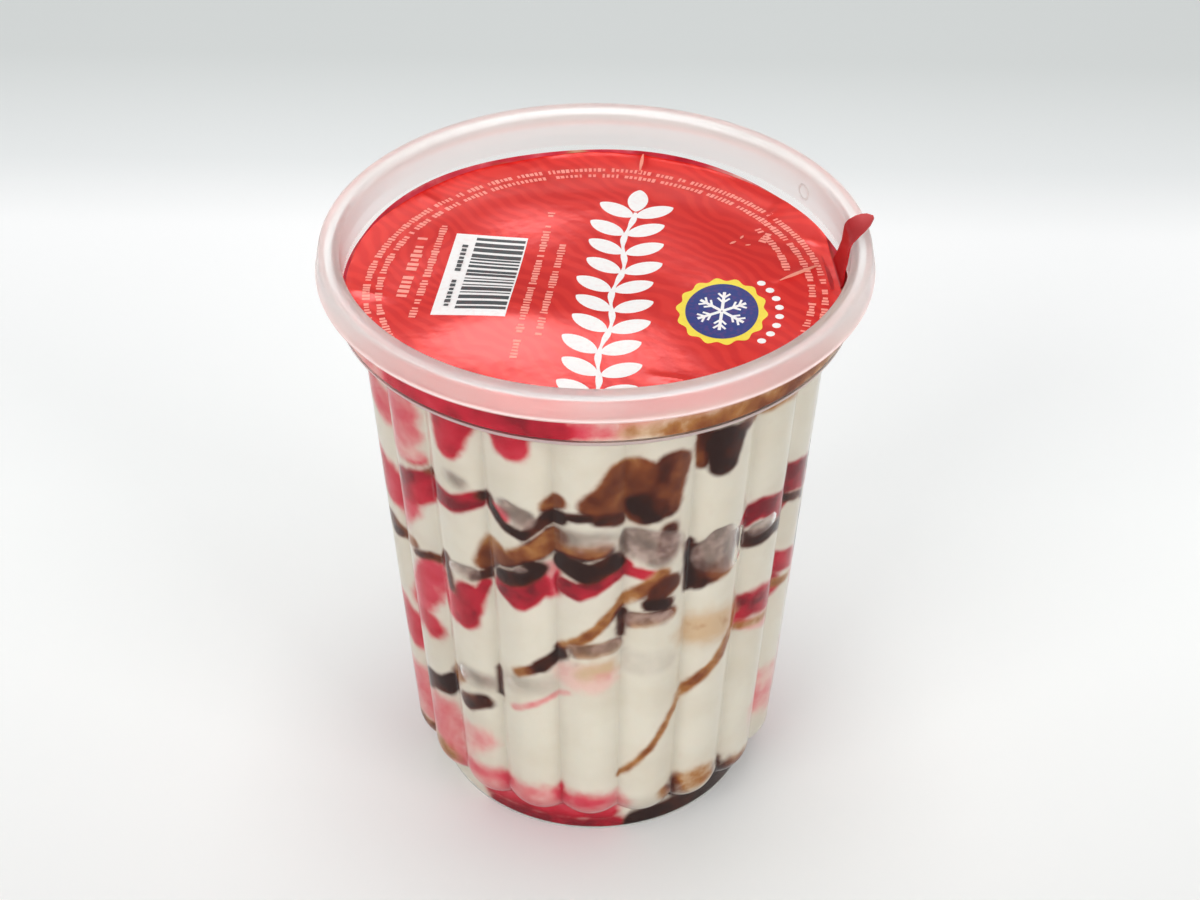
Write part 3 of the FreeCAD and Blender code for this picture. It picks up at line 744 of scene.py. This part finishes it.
random = np.random.default_rng(11)
pick = random.uniform
for (first, low), (last, high) in BACK_TURNS:
    climb = (high - low) / (last - first)
    for crown in np.arange(np.ceil(first / FLUTE_TURN) * FLUTE_TURN, last, FLUTE_TURN):
        level = low + climb * (crown - first) + pick(-1.0, 1.0)
        middle = crown + pick(-2.0, 2.0)
        drop = pick(1.6, 3.4)
        for halves, points in hang(middle, level, drop, pick(0.7, 1.5), climb):
            CHOCOLATE.append((pick(0.75, 1.0), *halves, 0.8, *points))
        for halves, points in hang(middle, level - 2.0, drop, pick(1.0, 1.9), climb):
            STRAWBERRY.append((pick(0.75, 0.97), *halves, 0.9, *points))
        if random.random() < 0.55:
            smear = [(middle - 4, level + 1.6), (middle + 5, level + pick(2.0, 5.0))]
            CHOCOLATE.append((pick(0.42, 0.7), 1.2, pick(1.2, 2.4), 1.0, *smear))
        if random.random() < 0.4:
            bubble = [(middle - 2.5, level + 0.4), (middle + 3, level + 0.8)]
            POCKETS.append((pick(0.6, 0.8), 1.5, 1.5, 0.9, *bubble))
        if random.random() < 0.5:
            haze = [(middle - 3, level - 7), (middle + 4, level - 8)]
            STRAWBERRY.append((pick(0.25, 0.45), 2.4, 2.4, 1.8, *haze))
for crown in np.arange(90, 280, FLUTE_TURN):
    # sauce at the collar, the teeth that hang from it, and sauce in the ball ends and the foot
    STRAWBERRY.append((pick(0.4, 0.8), 1.7, 1.7, 1.2, (crown - 8, 76.2), (crown + 8, 76.6)))
    CHOCOLATE.append((pick(0.4, 0.6), 0.7, 0.7, 1.2, (crown - 6, 75.6), (crown + 9, 76)))
    tooth = (0.9, 2.4, 1.4, 0.9, (crown, 73.5), (crown - 1, pick(68, 72)))
    (STRAWBERRY if random.random() < 0.5 else CHOCOLATE).append(tooth)
    STRAWBERRY.append((pick(0.35, 0.7), 3.2, 3.2, 2.2, (crown - 7, 5), (crown + 7, 6)))
    CHOCOLATE.append((pick(0.6, 1.0), 1.4, 1.4, 1.4, (crown - 9, 0.8), (crown + 9, 1.0)))

ice_heights = np.linspace(FLOOR_Z - BITE, SEAT_Z - BITE, 184)
pockets = np.prod(brush(*np.meshgrid(columns, ice_heights), POCKETS), axis=0)
pockets = np.clip((pockets - POCKET_EDGE) / (1 - POCKET_EDGE), 0, 1)
# the ice cream's lip goes down inside the solid foot ring nearly to the floor, so that its sauce
# darkens the foot where shade under the cup shows through the clear plastic: partly painted shade
foot_side = FOOT_RADIUS - WALL + FOOT_BITE
ice_rings = [(foot_side * part, FLOOR_Z - BITE) for part in (0.35, 0.7, 0.955)]
ice_rings += [(foot_side - 0.85, FOOT_RING_Z), (foot_side - 0.1, FOOT_RING_Z)]
ice_rings += [(foot_side, height) for height in (FOOT_RING_Z + 0.1, 1.1)]
insets = WALL - BITE + POCKET_DEPTH * pockets
ice_rings += [(None, height, inset) for height, inset in zip(ice_heights, insets)]
# the squeezed-out layer's edge climbs the collar unevenly, and most at the front
squeeze = 0.75 + 0.35 * np.sin(np.radians(columns * 2 + 40))
squeeze += 0.25 * np.sin(np.radians(columns * 5 + 10))
squeeze += 1.45 * np.clip(0.4 + 1.4 * np.cos(np.radians(columns)), 0, 1)
ice_rings += [
    (30.6, SEAT_Z - BITE),
    (COLLAR_BORE + BITE, SEAT_Z - BITE),
    (COLLAR_BORE + BITE, LID_Z),
    (COLLAR_BORE + BITE, LID_Z + squeeze * 0.7),
    (COLLAR_BORE - 0.05, LID_Z + squeeze),
    (COLLAR_BORE - 0.28, LID_Z + squeeze * 0.55),
    (COLLAR_BORE - 0.5, LID_Z + 0.1),
    (31.0, LID_Z - 0.05),
    (16.0, LID_Z - 0.05),
]

ripple, ripple_shader = new_material("rippled_ice_cream", {
    "Roughness": 0.45,
    "Specular IOR Level": 0.06,
    "Subsurface Weight": 0.14,
    "Subsurface Radius": (1.0, 0.6, 0.4),
    "Subsurface Scale": 0.0008,
})


def noise(scale, detail):
    """Noise through the solid, at a scale in cells per metre."""
    values = {"Vector": object_place(), "Scale": scale, "Detail": detail}
    return add_node("ShaderNodeTexNoise", values, "Fac")


def ragged(name, scale, spread):
    """A value of the mesh, more or less by noise."""
    painted = add_node("ShaderNodeAttribute", output="Fac", attribute_name=name)
    change = add_node("ShaderNodeMapRange", {
        "Value": noise(scale, 4),
        "From Min": 0.3,
        "From Max": 0.7,
        "To Min": -spread,
        "To Max": spread,
    })
    return add_node("ShaderNodeMath", {0: painted, 1: change}, use_clamp=True)


def mix(amount, first, second):
    """Two colours mixed by an amount."""
    values = {"Factor": amount, "A": first, "B": second}
    return add_node("ShaderNodeMix", values, "Result", data_type="RGBA")


def mask_by(amount, low, high):
    """0 below one amount and 1 above another, smoothly."""
    values = {"Value": amount, "From Min": low, "From Max": high}
    return add_node("ShaderNodeMapRange", values, interpolation_type="SMOOTHSTEP")


vanilla = colour_by(noise(140, 3), [(0.3, (203, 195, 179)), (0.6, (210, 204, 190))])
strawberry_cover, chocolate_cover = ragged("strawberry", 520, 0.12), ragged("chocolate", 520, 0.12)
thinning = calculate("MULTIPLY_ADD", strawberry_cover, 0.16, 0.84)
strawberry_tone = calculate("MULTIPLY", ragged("strawberry_tone", 300, 0.12), thinning)
thinning = calculate("MULTIPLY_ADD", chocolate_cover, 0.34, 0.66)
chocolate_tone = calculate("MULTIPLY", ragged("chocolate_tone", 260, 0.14), thinning)
strawberry_colour = colour_by(strawberry_tone, [
    (0.20, (216, 182, 172)),
    (0.40, (208, 128, 128)),
    (0.58, (200, 66, 82)),
    (0.78, (182, 30, 50)),
    (0.92, (150, 20, 38)),
    (1.00, (108, 16, 28)),
])
chocolate_colour = colour_by(chocolate_tone, [
    (0.28, (194, 166, 134)),
    (0.44, (158, 106, 58)),
    (0.60, (118, 60, 28)),
    (0.78, (76, 28, 12)),
    (0.96, (36, 10, 5)),
])
# the air pockets are real dents; their darker grey-brown colour is painted shade of the hollow behind
# the wall
pocket_painted_shade_colour = colour_by(noise(420, 2), [
    (0.34, (74, 48, 40)),
    (0.50, (108, 82, 74)),
    (0.66, (152, 128, 120)),
])
pocket_painted_shade_amount = calculate("MULTIPLY", ragged("pocket", 300, 0.08), ragged("pocket_tone", 300, 0.02))
pocket_painted_shade_amount = calculate("MULTIPLY", mask_by(pocket_painted_shade_amount, 0.06, 0.75), 0.88)
colour = mix(mask_by(strawberry_cover, 0.06, 0.80), vanilla, strawberry_colour)
colour = mix(mask_by(chocolate_cover, 0.06, 0.82), colour, chocolate_colour)
set_inputs(ripple_shader, {"Base Color": mix(pocket_painted_shade_amount, colour, pocket_painted_shade_colour)})
add_relief(900, 0.2, 0.0003)

ice_cream = add_fluted_piece("ice_cream_fill", ice_rings, ripple)
shade(ice_cream, 50)

# where the sauces lie and how rich they are goes onto the mesh, for the material to colour
points = np.array([vertex.co for vertex in ice_cream.data.vertices]) / MM
point_bearing = np.degrees(np.arctan2(points[:, 0], -points[:, 1]))
for name, strokes in (("strawberry", STRAWBERRY), ("chocolate", CHOCOLATE), ("pocket", POCKETS)):
    for layer, values in zip((name, name + "_tone"), brush(point_bearing, points[:, 2], strokes)):
        paint(ice_cream, layer, values)
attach(ice_cream, "root")
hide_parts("ice_cream")

# ----------------------------------------------------------
# The lid: a red printed foil disc pressed onto the ice cream, not quite flat, with creases where it
# was folded up into the pull tab. The tab is a tongue of the same foil, bent up at a straight crease
# and leaning out over the rim.
# ----------------------------------------------------------

FOIL = 0.2
LID_RADIUS = 31.75
TAB_TURN = 6.0
CREASE_X = 30.7
TAB_BEND = 0.5
TAB_CLEAR = 0.14
TAB_COLUMNS = 17
TIP_FROM, TIP_LENGTH = 0.7, 0.303
CURL_FROM, CURL_ACROSS = (31.4, LID_Z + 1), 64

# Folds pressed into the foil, as (start, end, height, half width) in mm
FOLDS = [
    ((5.2, 26.6), (5.7, 31.6), 0.40, 0.3),
    ((24.6, 19.4), (21.6, 14.6), 0.30, 0.5),
    ((23.1, 0.3), (28.9, 4.7), 0.26, 0.45),
    ((29.8, 9.0), (26.6, 10.8), 0.16, 0.5),
    ((29.8, -2.0), (26.6, -4.6), 0.14, 0.6),
    ((-31.0, -3.0), (-26.8, -4.4), 0.22, 0.8),
    ((-24.0, 20.0), (-20.6, 17.4), 0.22, 0.9),
    ((-8.0, 30.4), (-9.2, 26.6), 0.2, 0.9),
    ((12.8, -22.0), (7.4, -20.4), 0.26, 0.35),
]


def foil_rise(x, y):
    """How far the foil stands above its flat level: slow swells, folds and a slightly wavy edge."""
    radius, angle = np.hypot(x, y), np.arctan2(y, x)
    swell = 0.74 * np.exp(-((x + 8.0) ** 2 / 110 + (y + 8.5) ** 2 / 50))
    swell += 0.42 * np.exp(-((x + 5.0) ** 2 / 160 + (y - 19.0) ** 2 / 60))
    swell += 0.16 * np.exp(-((x - 13.0) ** 2 + (y - 5.0) ** 2) / 60)
    swell += 0.05 * (1 + np.sin(0.33 * x + 0.21 * y + 1.0))
    swell += 0.04 * (1 + np.sin(0.3 * y - 0.26 * x))
    for start, end, height, half in FOLDS:
        run = np.subtract(end, start)
        along = np.clip(((x - start[0]) * run[0] + (y - start[1]) * run[1]) / (run @ run), 0, 1)
        gap = np.hypot(x - start[0] - run[0] * along, y - start[1] - run[1] * along)
        swell += height * np.exp(-gap / half) * np.sin(np.pi * (0.12 + 0.76 * along))
    edge = np.clip((radius - 28.6) / 3.2, 0, 1) ** 2
    wave = 0.16 + 0.10 * np.sin(5 * angle + 0.6) + 0.08 * np.sin(11 * angle + 2.0)
    return swell + edge * wave


def turned(points, degrees):
    """Points turned about the cup's axis."""
    x, y, z = np.moveaxis(points, -1, 0)
    cosine, sine = np.cos(np.radians(degrees)), np.sin(np.radians(degrees))
    return np.stack((x * cosine - y * sine, x * sine + y * cosine, z), axis=-1)


def count_on(faces, first):
    """The same faces on points that start at another number."""
    return [tuple(index + first for index in face) for face in faces]


foil_side = np.radians(columns)
from_tab = np.clip(np.cos(foil_side - np.radians(90 + TAB_TURN)), 0.3, 1)
foil_reach = np.minimum(LID_RADIUS, CREASE_X / from_tab)
under_rings, top_rings = [], []
for part in (*np.linspace(0.012, 0.9, 58), *np.linspace(0.9, 1, 14)[1:]):
    radius = foil_reach * part
    rise = foil_rise(radius * np.sin(foil_side), -radius * np.cos(foil_side))
    under_rings.append((radius, LID_Z + rise))
    top_rings.append((radius, LID_Z + FOIL + rise))
disc_points, disc_faces = skin(under_rings + top_rings[::-1], columns)

# the tab's side view, from the disc to the tip: distance from the axis and height of its outer face
path = [(CREASE_X - 1.2, LID_Z + 0.12), (CREASE_X - 0.5, LID_Z + 0.06)]
path += bend((CREASE_X, LID_Z + TAB_BEND), TAB_BEND, -90, -8, 5)
path += [(CREASE_X + 0.74, LID_Z + 2.4), (CREASE_X + 0.96, LID_Z + 4.2)]
rim_centre = (COLLAR_BORE + RIM_ROUNDING, CUP_HEIGHT - RIM_ROUNDING)
path += bend(rim_centre, RIM_ROUNDING + TAB_CLEAR, 176, 116, 8)
path += [(33.15, 83.92), (33.85, 84.12), (34.5, 84.24), (35.2, 84.34)]
path = np.array(path)
steps = np.linalg.norm(np.diff(path, axis=0), axis=1)
travel = np.concatenate(([0], np.cumsum(steps))) / steps.sum()
ahead = np.gradient(path, axis=0)
ahead /= np.linalg.norm(ahead, axis=1)[:, None]
inward = np.stack((-ahead[:, 1], ahead[:, 0]), axis=1)

# its half width along the way to the round tip, and how far its middle lies to one side; once up, it
# curls with the collar
tongue = np.interp(travel, (0, 0.12, 0.4, 0.6, 0.8, 1), (4.4, 3.4, 2.6, 2.9, 2.5, 2.1))
tip = np.clip(travel - TIP_FROM, 0, 1) / TIP_LENGTH
tongue *= np.sqrt(np.clip(1 - tip ** 2, 0.01, 1))
aslant = np.interp(travel, (0, 0.2, 0.5, 0.66, 0.85, 1), (0, -0.5, -1.7, -1.8, -0.6, 0.4))
aside = tongue[:, None] * np.linspace(-1, 1, TAB_COLUMNS) + aslant[:, None]
curl = aside ** 2 / CURL_ACROSS * np.all(path > CURL_FROM, axis=1)[:, None]
faces_of_tab = []
for depth in (0.0, FOIL):
    out = path[:, :1] + inward[:, :1] * (depth + curl)
    faces_of_tab.append(np.stack((out, aside, path[:, 1:] + inward[:, 1:] * (depth + curl)), axis=-1))
outer, inner = faces_of_tab
around = 2 * TAB_COLUMNS
tab_points = turned(np.concatenate((inner, outer[:, ::-1]), axis=1), TAB_TURN).reshape(-1, 3)
tab_end = [(step, step + 1, around - 2 - step, around - 1 - step) for step in range(TAB_COLUMNS - 1)]
tab_faces = net(len(path), around) + [end[::-1] for end in tab_end]
tab_faces += count_on(tab_end, len(tab_points) - around)
lid_faces = disc_faces + count_on(tab_faces, len(disc_points))
lid = add_piece("lid_foil_sheet", np.concatenate((disc_points, tab_points)), lid_faces)
shade(lid, 45)

foil, foil_shader = new_material("printed_red_foil", {
    "Metallic": 0.15,
    "Roughness": 0.2,
    "Specular IOR Level": 0.4,
})
warp = add_node("ShaderNodeTexNoise", {"Vector": object_place(), "Scale": 60, "Detail": 2}, "Color")
spread = add_node("ShaderNodeVectorMath", {0: warp, "Scale": 0.012}, operation="SCALE")
bent = add_node("ShaderNodeVectorMath", {0: object_place(), 1: spread})
waves = {"Vector": bent, "Scale": 210, "Distortion": 1.6, "Detail": 1.0}
waves = add_node("ShaderNodeTexWave", waves, "Fac", bands_direction="DIAGONAL")
red = colour_by(waves, [(0.2, (214, 22, 14)), (0.5, (220, 28, 18)), (0.8, (227, 38, 27))])
set_inputs(foil_shader, {"Base Color": red})
add_relief(350, 0.12, 0.0004)
# the tab is the same foil as the disc; its darker red is painted shade
tab_painted_shade_foil, tab_shader = new_material("red_tab_foil_painted_shade", {
    "Metallic": 0.15,
    "Roughness": 0.3,
    "Specular IOR Level": 0.3,
})
red = colour_by(noise(300, 2), [(0.3, (172, 22, 26)), (0.7, (184, 28, 32))])
set_inputs(tab_shader, {"Base Color": red})
add_relief(350, 0.1, 0.0004)
lid.data.materials.append(foil)
lid.data.materials.append(tab_painted_shade_foil)
for polygon in lid.data.polygons[len(disc_faces):]:
    polygon.material_index = 1
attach(lid, "root")
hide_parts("lid")

# ----------------------------------------------------------
# The print on the lid, in inks that lie on the foil and follow it: rows of small print shown as pale
# dashes, a white panel with bars, a white branch, and a yellow and blue rosette with an ice crystal.
# ----------------------------------------------------------

PRINT_TURN = -5.6
INK = 0.015
FIRST_LIFT = 0.01
LAYER_STEP = 1.5 * INK
FOIL_RED = (220, 28, 18)

# ink a little uneven where the red foil shows through it
uneven_ink, given, result = start_group(
    "Shader", "uneven_ink", {"Color": ("Ink", "Foil")}, {"Color": ("Colour",)},
)
thin = calculate("SUBTRACT", 1.0, mask_by(noise(1800, 3), 0.3, 0.55))
set_inputs(result, {"Colour": mix(calculate("MULTIPLY", thin, 0.08), given["Ink"], given["Foil"])})


def make_ink(name, tone):
    """Printing ink of one colour."""
    material, shader = new_material(name, {"Roughness": 0.35, "Specular IOR Level": 0.3})
    colours = {"Ink": srgb(*tone), "Foil": srgb(*FOIL_RED)}
    set_inputs(shader, {"Base Color": add_node("ShaderNodeGroup", colours, node_tree=uneven_ink)})
    return material


# a film of ink: a flat sheet is dropped onto the foil below it and given a thickness
sockets = {"Object": ("Foil",), "Float": ("Lift", "Thickness"), "Material": ("Ink",)}
press, given, result = start_tree("press_onto_foil", sockets)
hit = add_node("GeometryNodeRaycast", {
    "Target Geometry": add_node("GeometryNodeObjectInfo", {"Object": given["Foil"]}, "Geometry"),
    "Source Position": add_node("GeometryNodeInputPosition"),
    "Ray Direction": (0, 0, -1),
    "Ray Length": 0.05,
}, "Hit Position")
lift = add_node("ShaderNodeCombineXYZ", {"Z": given["Lift"]})
lifted = add_node("ShaderNodeVectorMath", {0: hit, 1: lift})
sheet = add_node("GeometryNodeSetPosition", {"Geometry": given["Geometry"], "Position": lifted})
top = {"Mesh": sheet, "Offset Scale": given["Thickness"], "Individual": False}
film = add_node("GeometryNodeJoinGeometry", {"Geometry": add_node("GeometryNodeExtrudeMesh", top)})
set_inputs(film.node, {"Geometry": add_node("GeometryNodeFlipFaces", {"Mesh": sheet})})
film = add_node("GeometryNodeMergeByDistance", {"Geometry": film, "Distance": 1e-6})
film = add_node("GeometryNodeRealizeInstances", {"Geometry": film})
film = add_node("GeometryNodeSetMaterial", {"Geometry": film, "Material": given["Ink"]})
set_inputs(result, {"Geometry": film})

# small print: dashes of uneven length and height along guide lines, with gaps between the words
sockets = {**sockets, "Float": ("Pitch", "Height", "Lift"), "Int": ("Seed",)}
dashes, given, result = start_tree("small_print", sockets)
line = add_node("GeometryNodeMeshToCurve", {"Mesh": given["Geometry"]})
stations = {"Curve": line, "Length": given["Pitch"]}
stations = add_node("GeometryNodeCurveToPoints", stations, "Points", mode="LENGTH")
tangent = stations.node.outputs["Tangent"]
size = {"Size X": given["Pitch"], "Size Y": given["Height"], "Vertices X": 2, "Vertices Y": 2}
spaced = {"Seed": given["Seed"], "Probability": 0.86}
uneven = {"Seed": given["Seed"], "Min": (0.42, 0.62, 1), "Max": (0.80, 1.0, 1)}
letters = add_node("GeometryNodeInstanceOnPoints", {
    "Points": stations,
    "Selection": add_node("FunctionNodeRandomValue", spaced, "Value", data_type="BOOLEAN"),
    "Instance": add_node("GeometryNodeMeshGrid", size, "Mesh"),
    "Rotation": add_node("FunctionNodeAlignRotationToVector", {"Vector": tangent}, axis="X"),
    "Scale": add_node("FunctionNodeRandomValue", uneven, "Value", data_type="FLOAT_VECTOR"),
})
pressed = add_node("GeometryNodeGroup", {
    "Geometry": add_node("GeometryNodeRealizeInstances", {"Geometry": letters}),
    "Foil": given["Foil"],
    "Lift": given["Lift"],
    "Thickness": INK * MM,
    "Ink": given["Ink"],
}, node_tree=press)
dressed = add_node("GeometryNodeSetMaterial", {"Geometry": pressed, "Material": given["Ink"]})
set_inputs(result, {"Geometry": dressed})


def over_lid(x, y):
    """Points above the lid."""
    return np.stack(np.broadcast_arrays(x, y, CUP_HEIGHT), axis=-1)


def on_lid(across, along):
    """Points of the print, square to its own axis, as points above the lid."""
    return turned(over_lid(across, along), PRINT_TURN)


def print_shape(piece, tree, ink, layer, **values):
    """Puts a flat shape or guide lines on the foil as ink, over the layers below."""
    lift = (FIRST_LIFT + layer * LAYER_STEP) * MM
    shape_by_tree(piece, tree, {"Foil": lid, "Lift": lift, "Ink": ink, **values})
    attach(piece, "root")


def add_small_print(name, guides, pitch, height, ink, seed, layer=0):
    """Rows of dashes along guide lines, each an array of points above the lid."""
    ends = np.cumsum([len(guide) for guide in guides])
    edges = [(step - 1, step) for step in range(1, ends[-1]) if step not in ends]
    piece = add_piece(name, np.concatenate(guides), [], edges)
    print_shape(piece, dashes, ink, layer, Pitch=pitch * MM, Height=height * MM, Seed=seed)


def add_film(name, shapes, ink, layer=0):
    """Printed shapes, each as (points, faces), as one piece."""
    points, faces = [], []
    for shape_points, shape_faces in shapes:
        faces += count_on(shape_faces, len(points))
        points += shape_points.tolist()
    print_shape(add_piece(name, points, faces), press, ink, layer, Thickness=INK * MM)


def band(*lines):
    """Points and faces of a band through matching arrays of points, side by side."""
    points = np.stack(lines, axis=1)
    return points.reshape(-1, 3), net(*points.shape[:2], loop=False)


def strip(left, right):
    """Points and faces of a band between two edges."""
    return band(left, (left + right) / 2, right)


def oval(half_across, half_along, steps):
    """The outline of an oval, as offsets from its middle."""
    turn = full_turn(steps)
    return np.stack((half_across * np.cos(turn), half_along * np.sin(turn)), axis=1)


def blot(across, along, outline, rings=4):
    """Points and faces of a filled closed outline, given as offsets from its middle."""
    middle = np.array((across, along))
    points = [middle + outline * ring / rings for ring in range(1, rings + 1)]
    points = np.concatenate((middle[None], *points))
    count = len(outline)
    faces = [(0, 1 + step, 1 + (step + 1) % count) for step in range(count)]
    faces += [(a, d, c, b) for a, b, c, d in count_on(net(rings, count), 1)]
    return on_lid(*points.T), faces


def square_axes(degrees):
    """A direction in the print, and the one square to it on its left."""
    cosine, sine = np.cos(np.radians(degrees)), np.sin(np.radians(degrees))
    return np.array((cosine, sine)), np.array((-sine, cosine))


salmon = make_ink("salmon_ink", (250, 158, 142))
white = make_ink("white_ink", (250, 247, 244))
dark = make_ink("bar_ink", (58, 64, 66))
yellow = make_ink("yellow_ink", (248, 224, 66))
blue = make_ink("blue_ink", (20, 44, 122))

# two rows round the edge, and short rows beside the panel and the tab
LETTER = 0.62
RING_MIDDLE, RING_RADII = (0.1, -1.8), (28.9, 27.3)
ROWS = (
    ((-7.7, 14.7), (-7.7, -18.2)),
    ((-5.2, 7.5), (-5.3, -14.1)),
    ((-21.2, 10.8), (-21.5, -11.7)),
    ((20.4, 12.0), (21.6, 15.6)),
)
turn = np.radians(np.linspace(-62, 242, 160))
guides = [
    over_lid(RING_MIDDLE[0] + radius * np.cos(turn), RING_MIDDLE[1] + radius * np.sin(turn))
    for radius in RING_RADII
]
add_small_print("small_print_rings", guides, LETTER, 1.0, salmon, 3)
guides = [on_lid(*np.linspace(start, end, 12).T) for start, end in ROWS]
near_tab = np.radians(np.linspace(33, 6, 20))
guides.append(over_lid(24.6 * np.cos(near_tab), 24.6 * np.sin(near_tab)))
add_small_print("small_print_rows", guides, LETTER, 1.05, salmon, 8)
guides = [on_lid(*np.linspace((-23.5, 6.8), (-23.7, -6.5), 12).T)]
add_small_print("bold_print_row", guides, 1.0, 1.5, salmon, 5)

# the white panel, with bars across it and a column of dots
PANEL_ACROSS, PANEL_ALONG = -14.6, -0.9
down_panel = PANEL_ALONG + np.linspace(9.6, -9.6, 25)
over_panel = PANEL_ACROSS + np.linspace(-4.7, 4.7, 25)
add_film("white_panel", [band(*[on_lid(across, down_panel) for across in over_panel])], white)
random = np.random.default_rng(4)
bars = []
bar_side = PANEL_ACROSS + np.linspace(-1.9, 4.5, 12)
level = PANEL_ALONG + 8.9
while level > PANEL_ALONG - 8.6:
    width = random.choice((0.25, 0.4, 0.6, 0.85))
    bars.append(strip(on_lid(bar_side, level - width), on_lid(bar_side, level)))
    level -= width + random.choice((0.24, 0.38, 0.55))
add_film("panel_bars", bars, dark, 1)
guides = [on_lid(PANEL_ACROSS - 3.1, PANEL_ALONG + np.linspace(7.6, -7.4, 12))]
add_small_print("panel_dots", guides, 0.9, 0.75, dark, 2, 3)

# the branch: a thin swaying stem with a pair of leaves at every step, and one leaf at its end
BRANCH_ACROSS, BRANCH_TOP, BRANCH_FOOT = 2.85, 16.6, -26.5
STEM_SWAY, STEM_WAVE = 0.4, 13
LEAF_STEP, LEAF_HALF_LENGTH, LEAF_HALF_WIDTH, LEAF_LEAN = 4.5, 2.75, 1.35, 32


def stem(level):
    """How far across the stem is at a level."""
    return BRANCH_ACROSS + STEM_SWAY * np.sin(2 * np.pi * level / STEM_WAVE)


sweep = np.linspace(BRANCH_TOP, BRANCH_FOOT, 160)
half = 0.32 + 0.12 * np.sin(2 * np.pi * sweep / LEAF_STEP)
branch = [strip(on_lid(stem(sweep) + half, sweep), on_lid(stem(sweep) - half, sweep))]
leaf = oval(LEAF_HALF_LENGTH, 1, 32)
leaf[:, 1] = LEAF_HALF_WIDTH * np.sign(leaf[:, 1]) * np.abs(leaf[:, 1]) ** 1.4
levels = np.arange(BRANCH_TOP - 1.2, BRANCH_FOOT + 1, -LEAF_STEP)
for level, lean in [(level, lean) for level in levels for lean in (-1, 1)] + [(BRANCH_TOP, 0)]:
    out, square = square_axes(90 - lean * (90 - LEAF_LEAN))
    centre = np.array((stem(level), level)) + out * (LEAF_HALF_LENGTH + 0.25)
    branch.append(blot(*centre, leaf @ np.array((out, square)), 3))
add_film("white_branch", branch, white)

# the rosette: yellow scallops, a blue disc, and a white crystal of six arms with barbs
ROSETTE, SCALLOPS, CRYSTAL_STRETCH = (16.5, -4.9), 14, (1.0, 1.25)
scallops = 1 + 0.045 * np.cos(SCALLOPS * full_turn(144))
add_film("rosette_scallops", [blot(*ROSETTE, oval(5.5, 7.0, 144) * scallops[:, None], 8)], yellow)
add_film("rosette_disc", [blot(*ROSETTE, oval(4.55, 5.95, 144), 8)], blue, 1)
crystal = []
for arm in range(6):
    out, square = square_axes(60 * arm + 30)
    bones = [(out * 0.1, out * 3.3, 0.2)]
    for root in (1.5, 2.3):
        bones += [(out * root, out * (root + 0.75) + square * lean, 0.14) for lean in (-0.75, 0.75)]
    for start, end, thick in bones:
        bone = (end - start) / np.linalg.norm(end - start)
        edge = np.array((-bone[1], bone[0])) * thick
        line = np.linspace(start, end, 5)
        sides = [(line + way * edge) * CRYSTAL_STRETCH + ROSETTE for way in (1, -1)]
        crystal.append(strip(*[on_lid(*side.T) for side in sides]))
add_film("rosette_crystal", crystal, white, 2)
beads = [
    blot(ROSETTE[0] + 7.2 * np.cos(angle), ROSETTE[1] + 8.6 * np.sin(angle), oval(0.55, 0.55, 16), 1)
    for angle in np.radians(np.linspace(-42, 52, 8))
]
add_film("rosette_beads", beads, white)

# pale marks over the print: painted highlights along the fold at the back and the crease by the tab,
# and a few pale specks
FOLD_HIGHLIGHTS_AND_SPECKS = (
    ((5.3, 26.9), (5.7, 31.2), 0.22),
    ((23.4, 0.5), (28.4, 4.3), 0.3),
    ((17.2, 9.0), (18.0, 9.7), 0.2),
    ((18.6, 10.4), (19.0, 11.2), 0.16),
    ((19.2, 8.8), (19.9, 9.0), 0.16),
)
pale_marks = []
swell = np.sin(np.linspace(0.25, np.pi - 0.25, 12))[:, None]
for start, end, width in FOLD_HIGHLIGHTS_AND_SPECKS:
    run = np.subtract(end, start) / np.linalg.norm(np.subtract(end, start))
    edge = np.array((-run[1], run[0])) * width * swell
    line = np.linspace(start, end, 12)
    pale_marks.append(strip(*[over_lid(*(line + way * edge).T) for way in (1, -1)]))
add_film("worn_print", pale_marks, make_ink("painted_highlight_ink", (240, 150, 128)), 1)

size = {
    "cad_box": [list(corner) for corner in cad_box],
    "visual_box": [list(corner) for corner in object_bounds()],
}
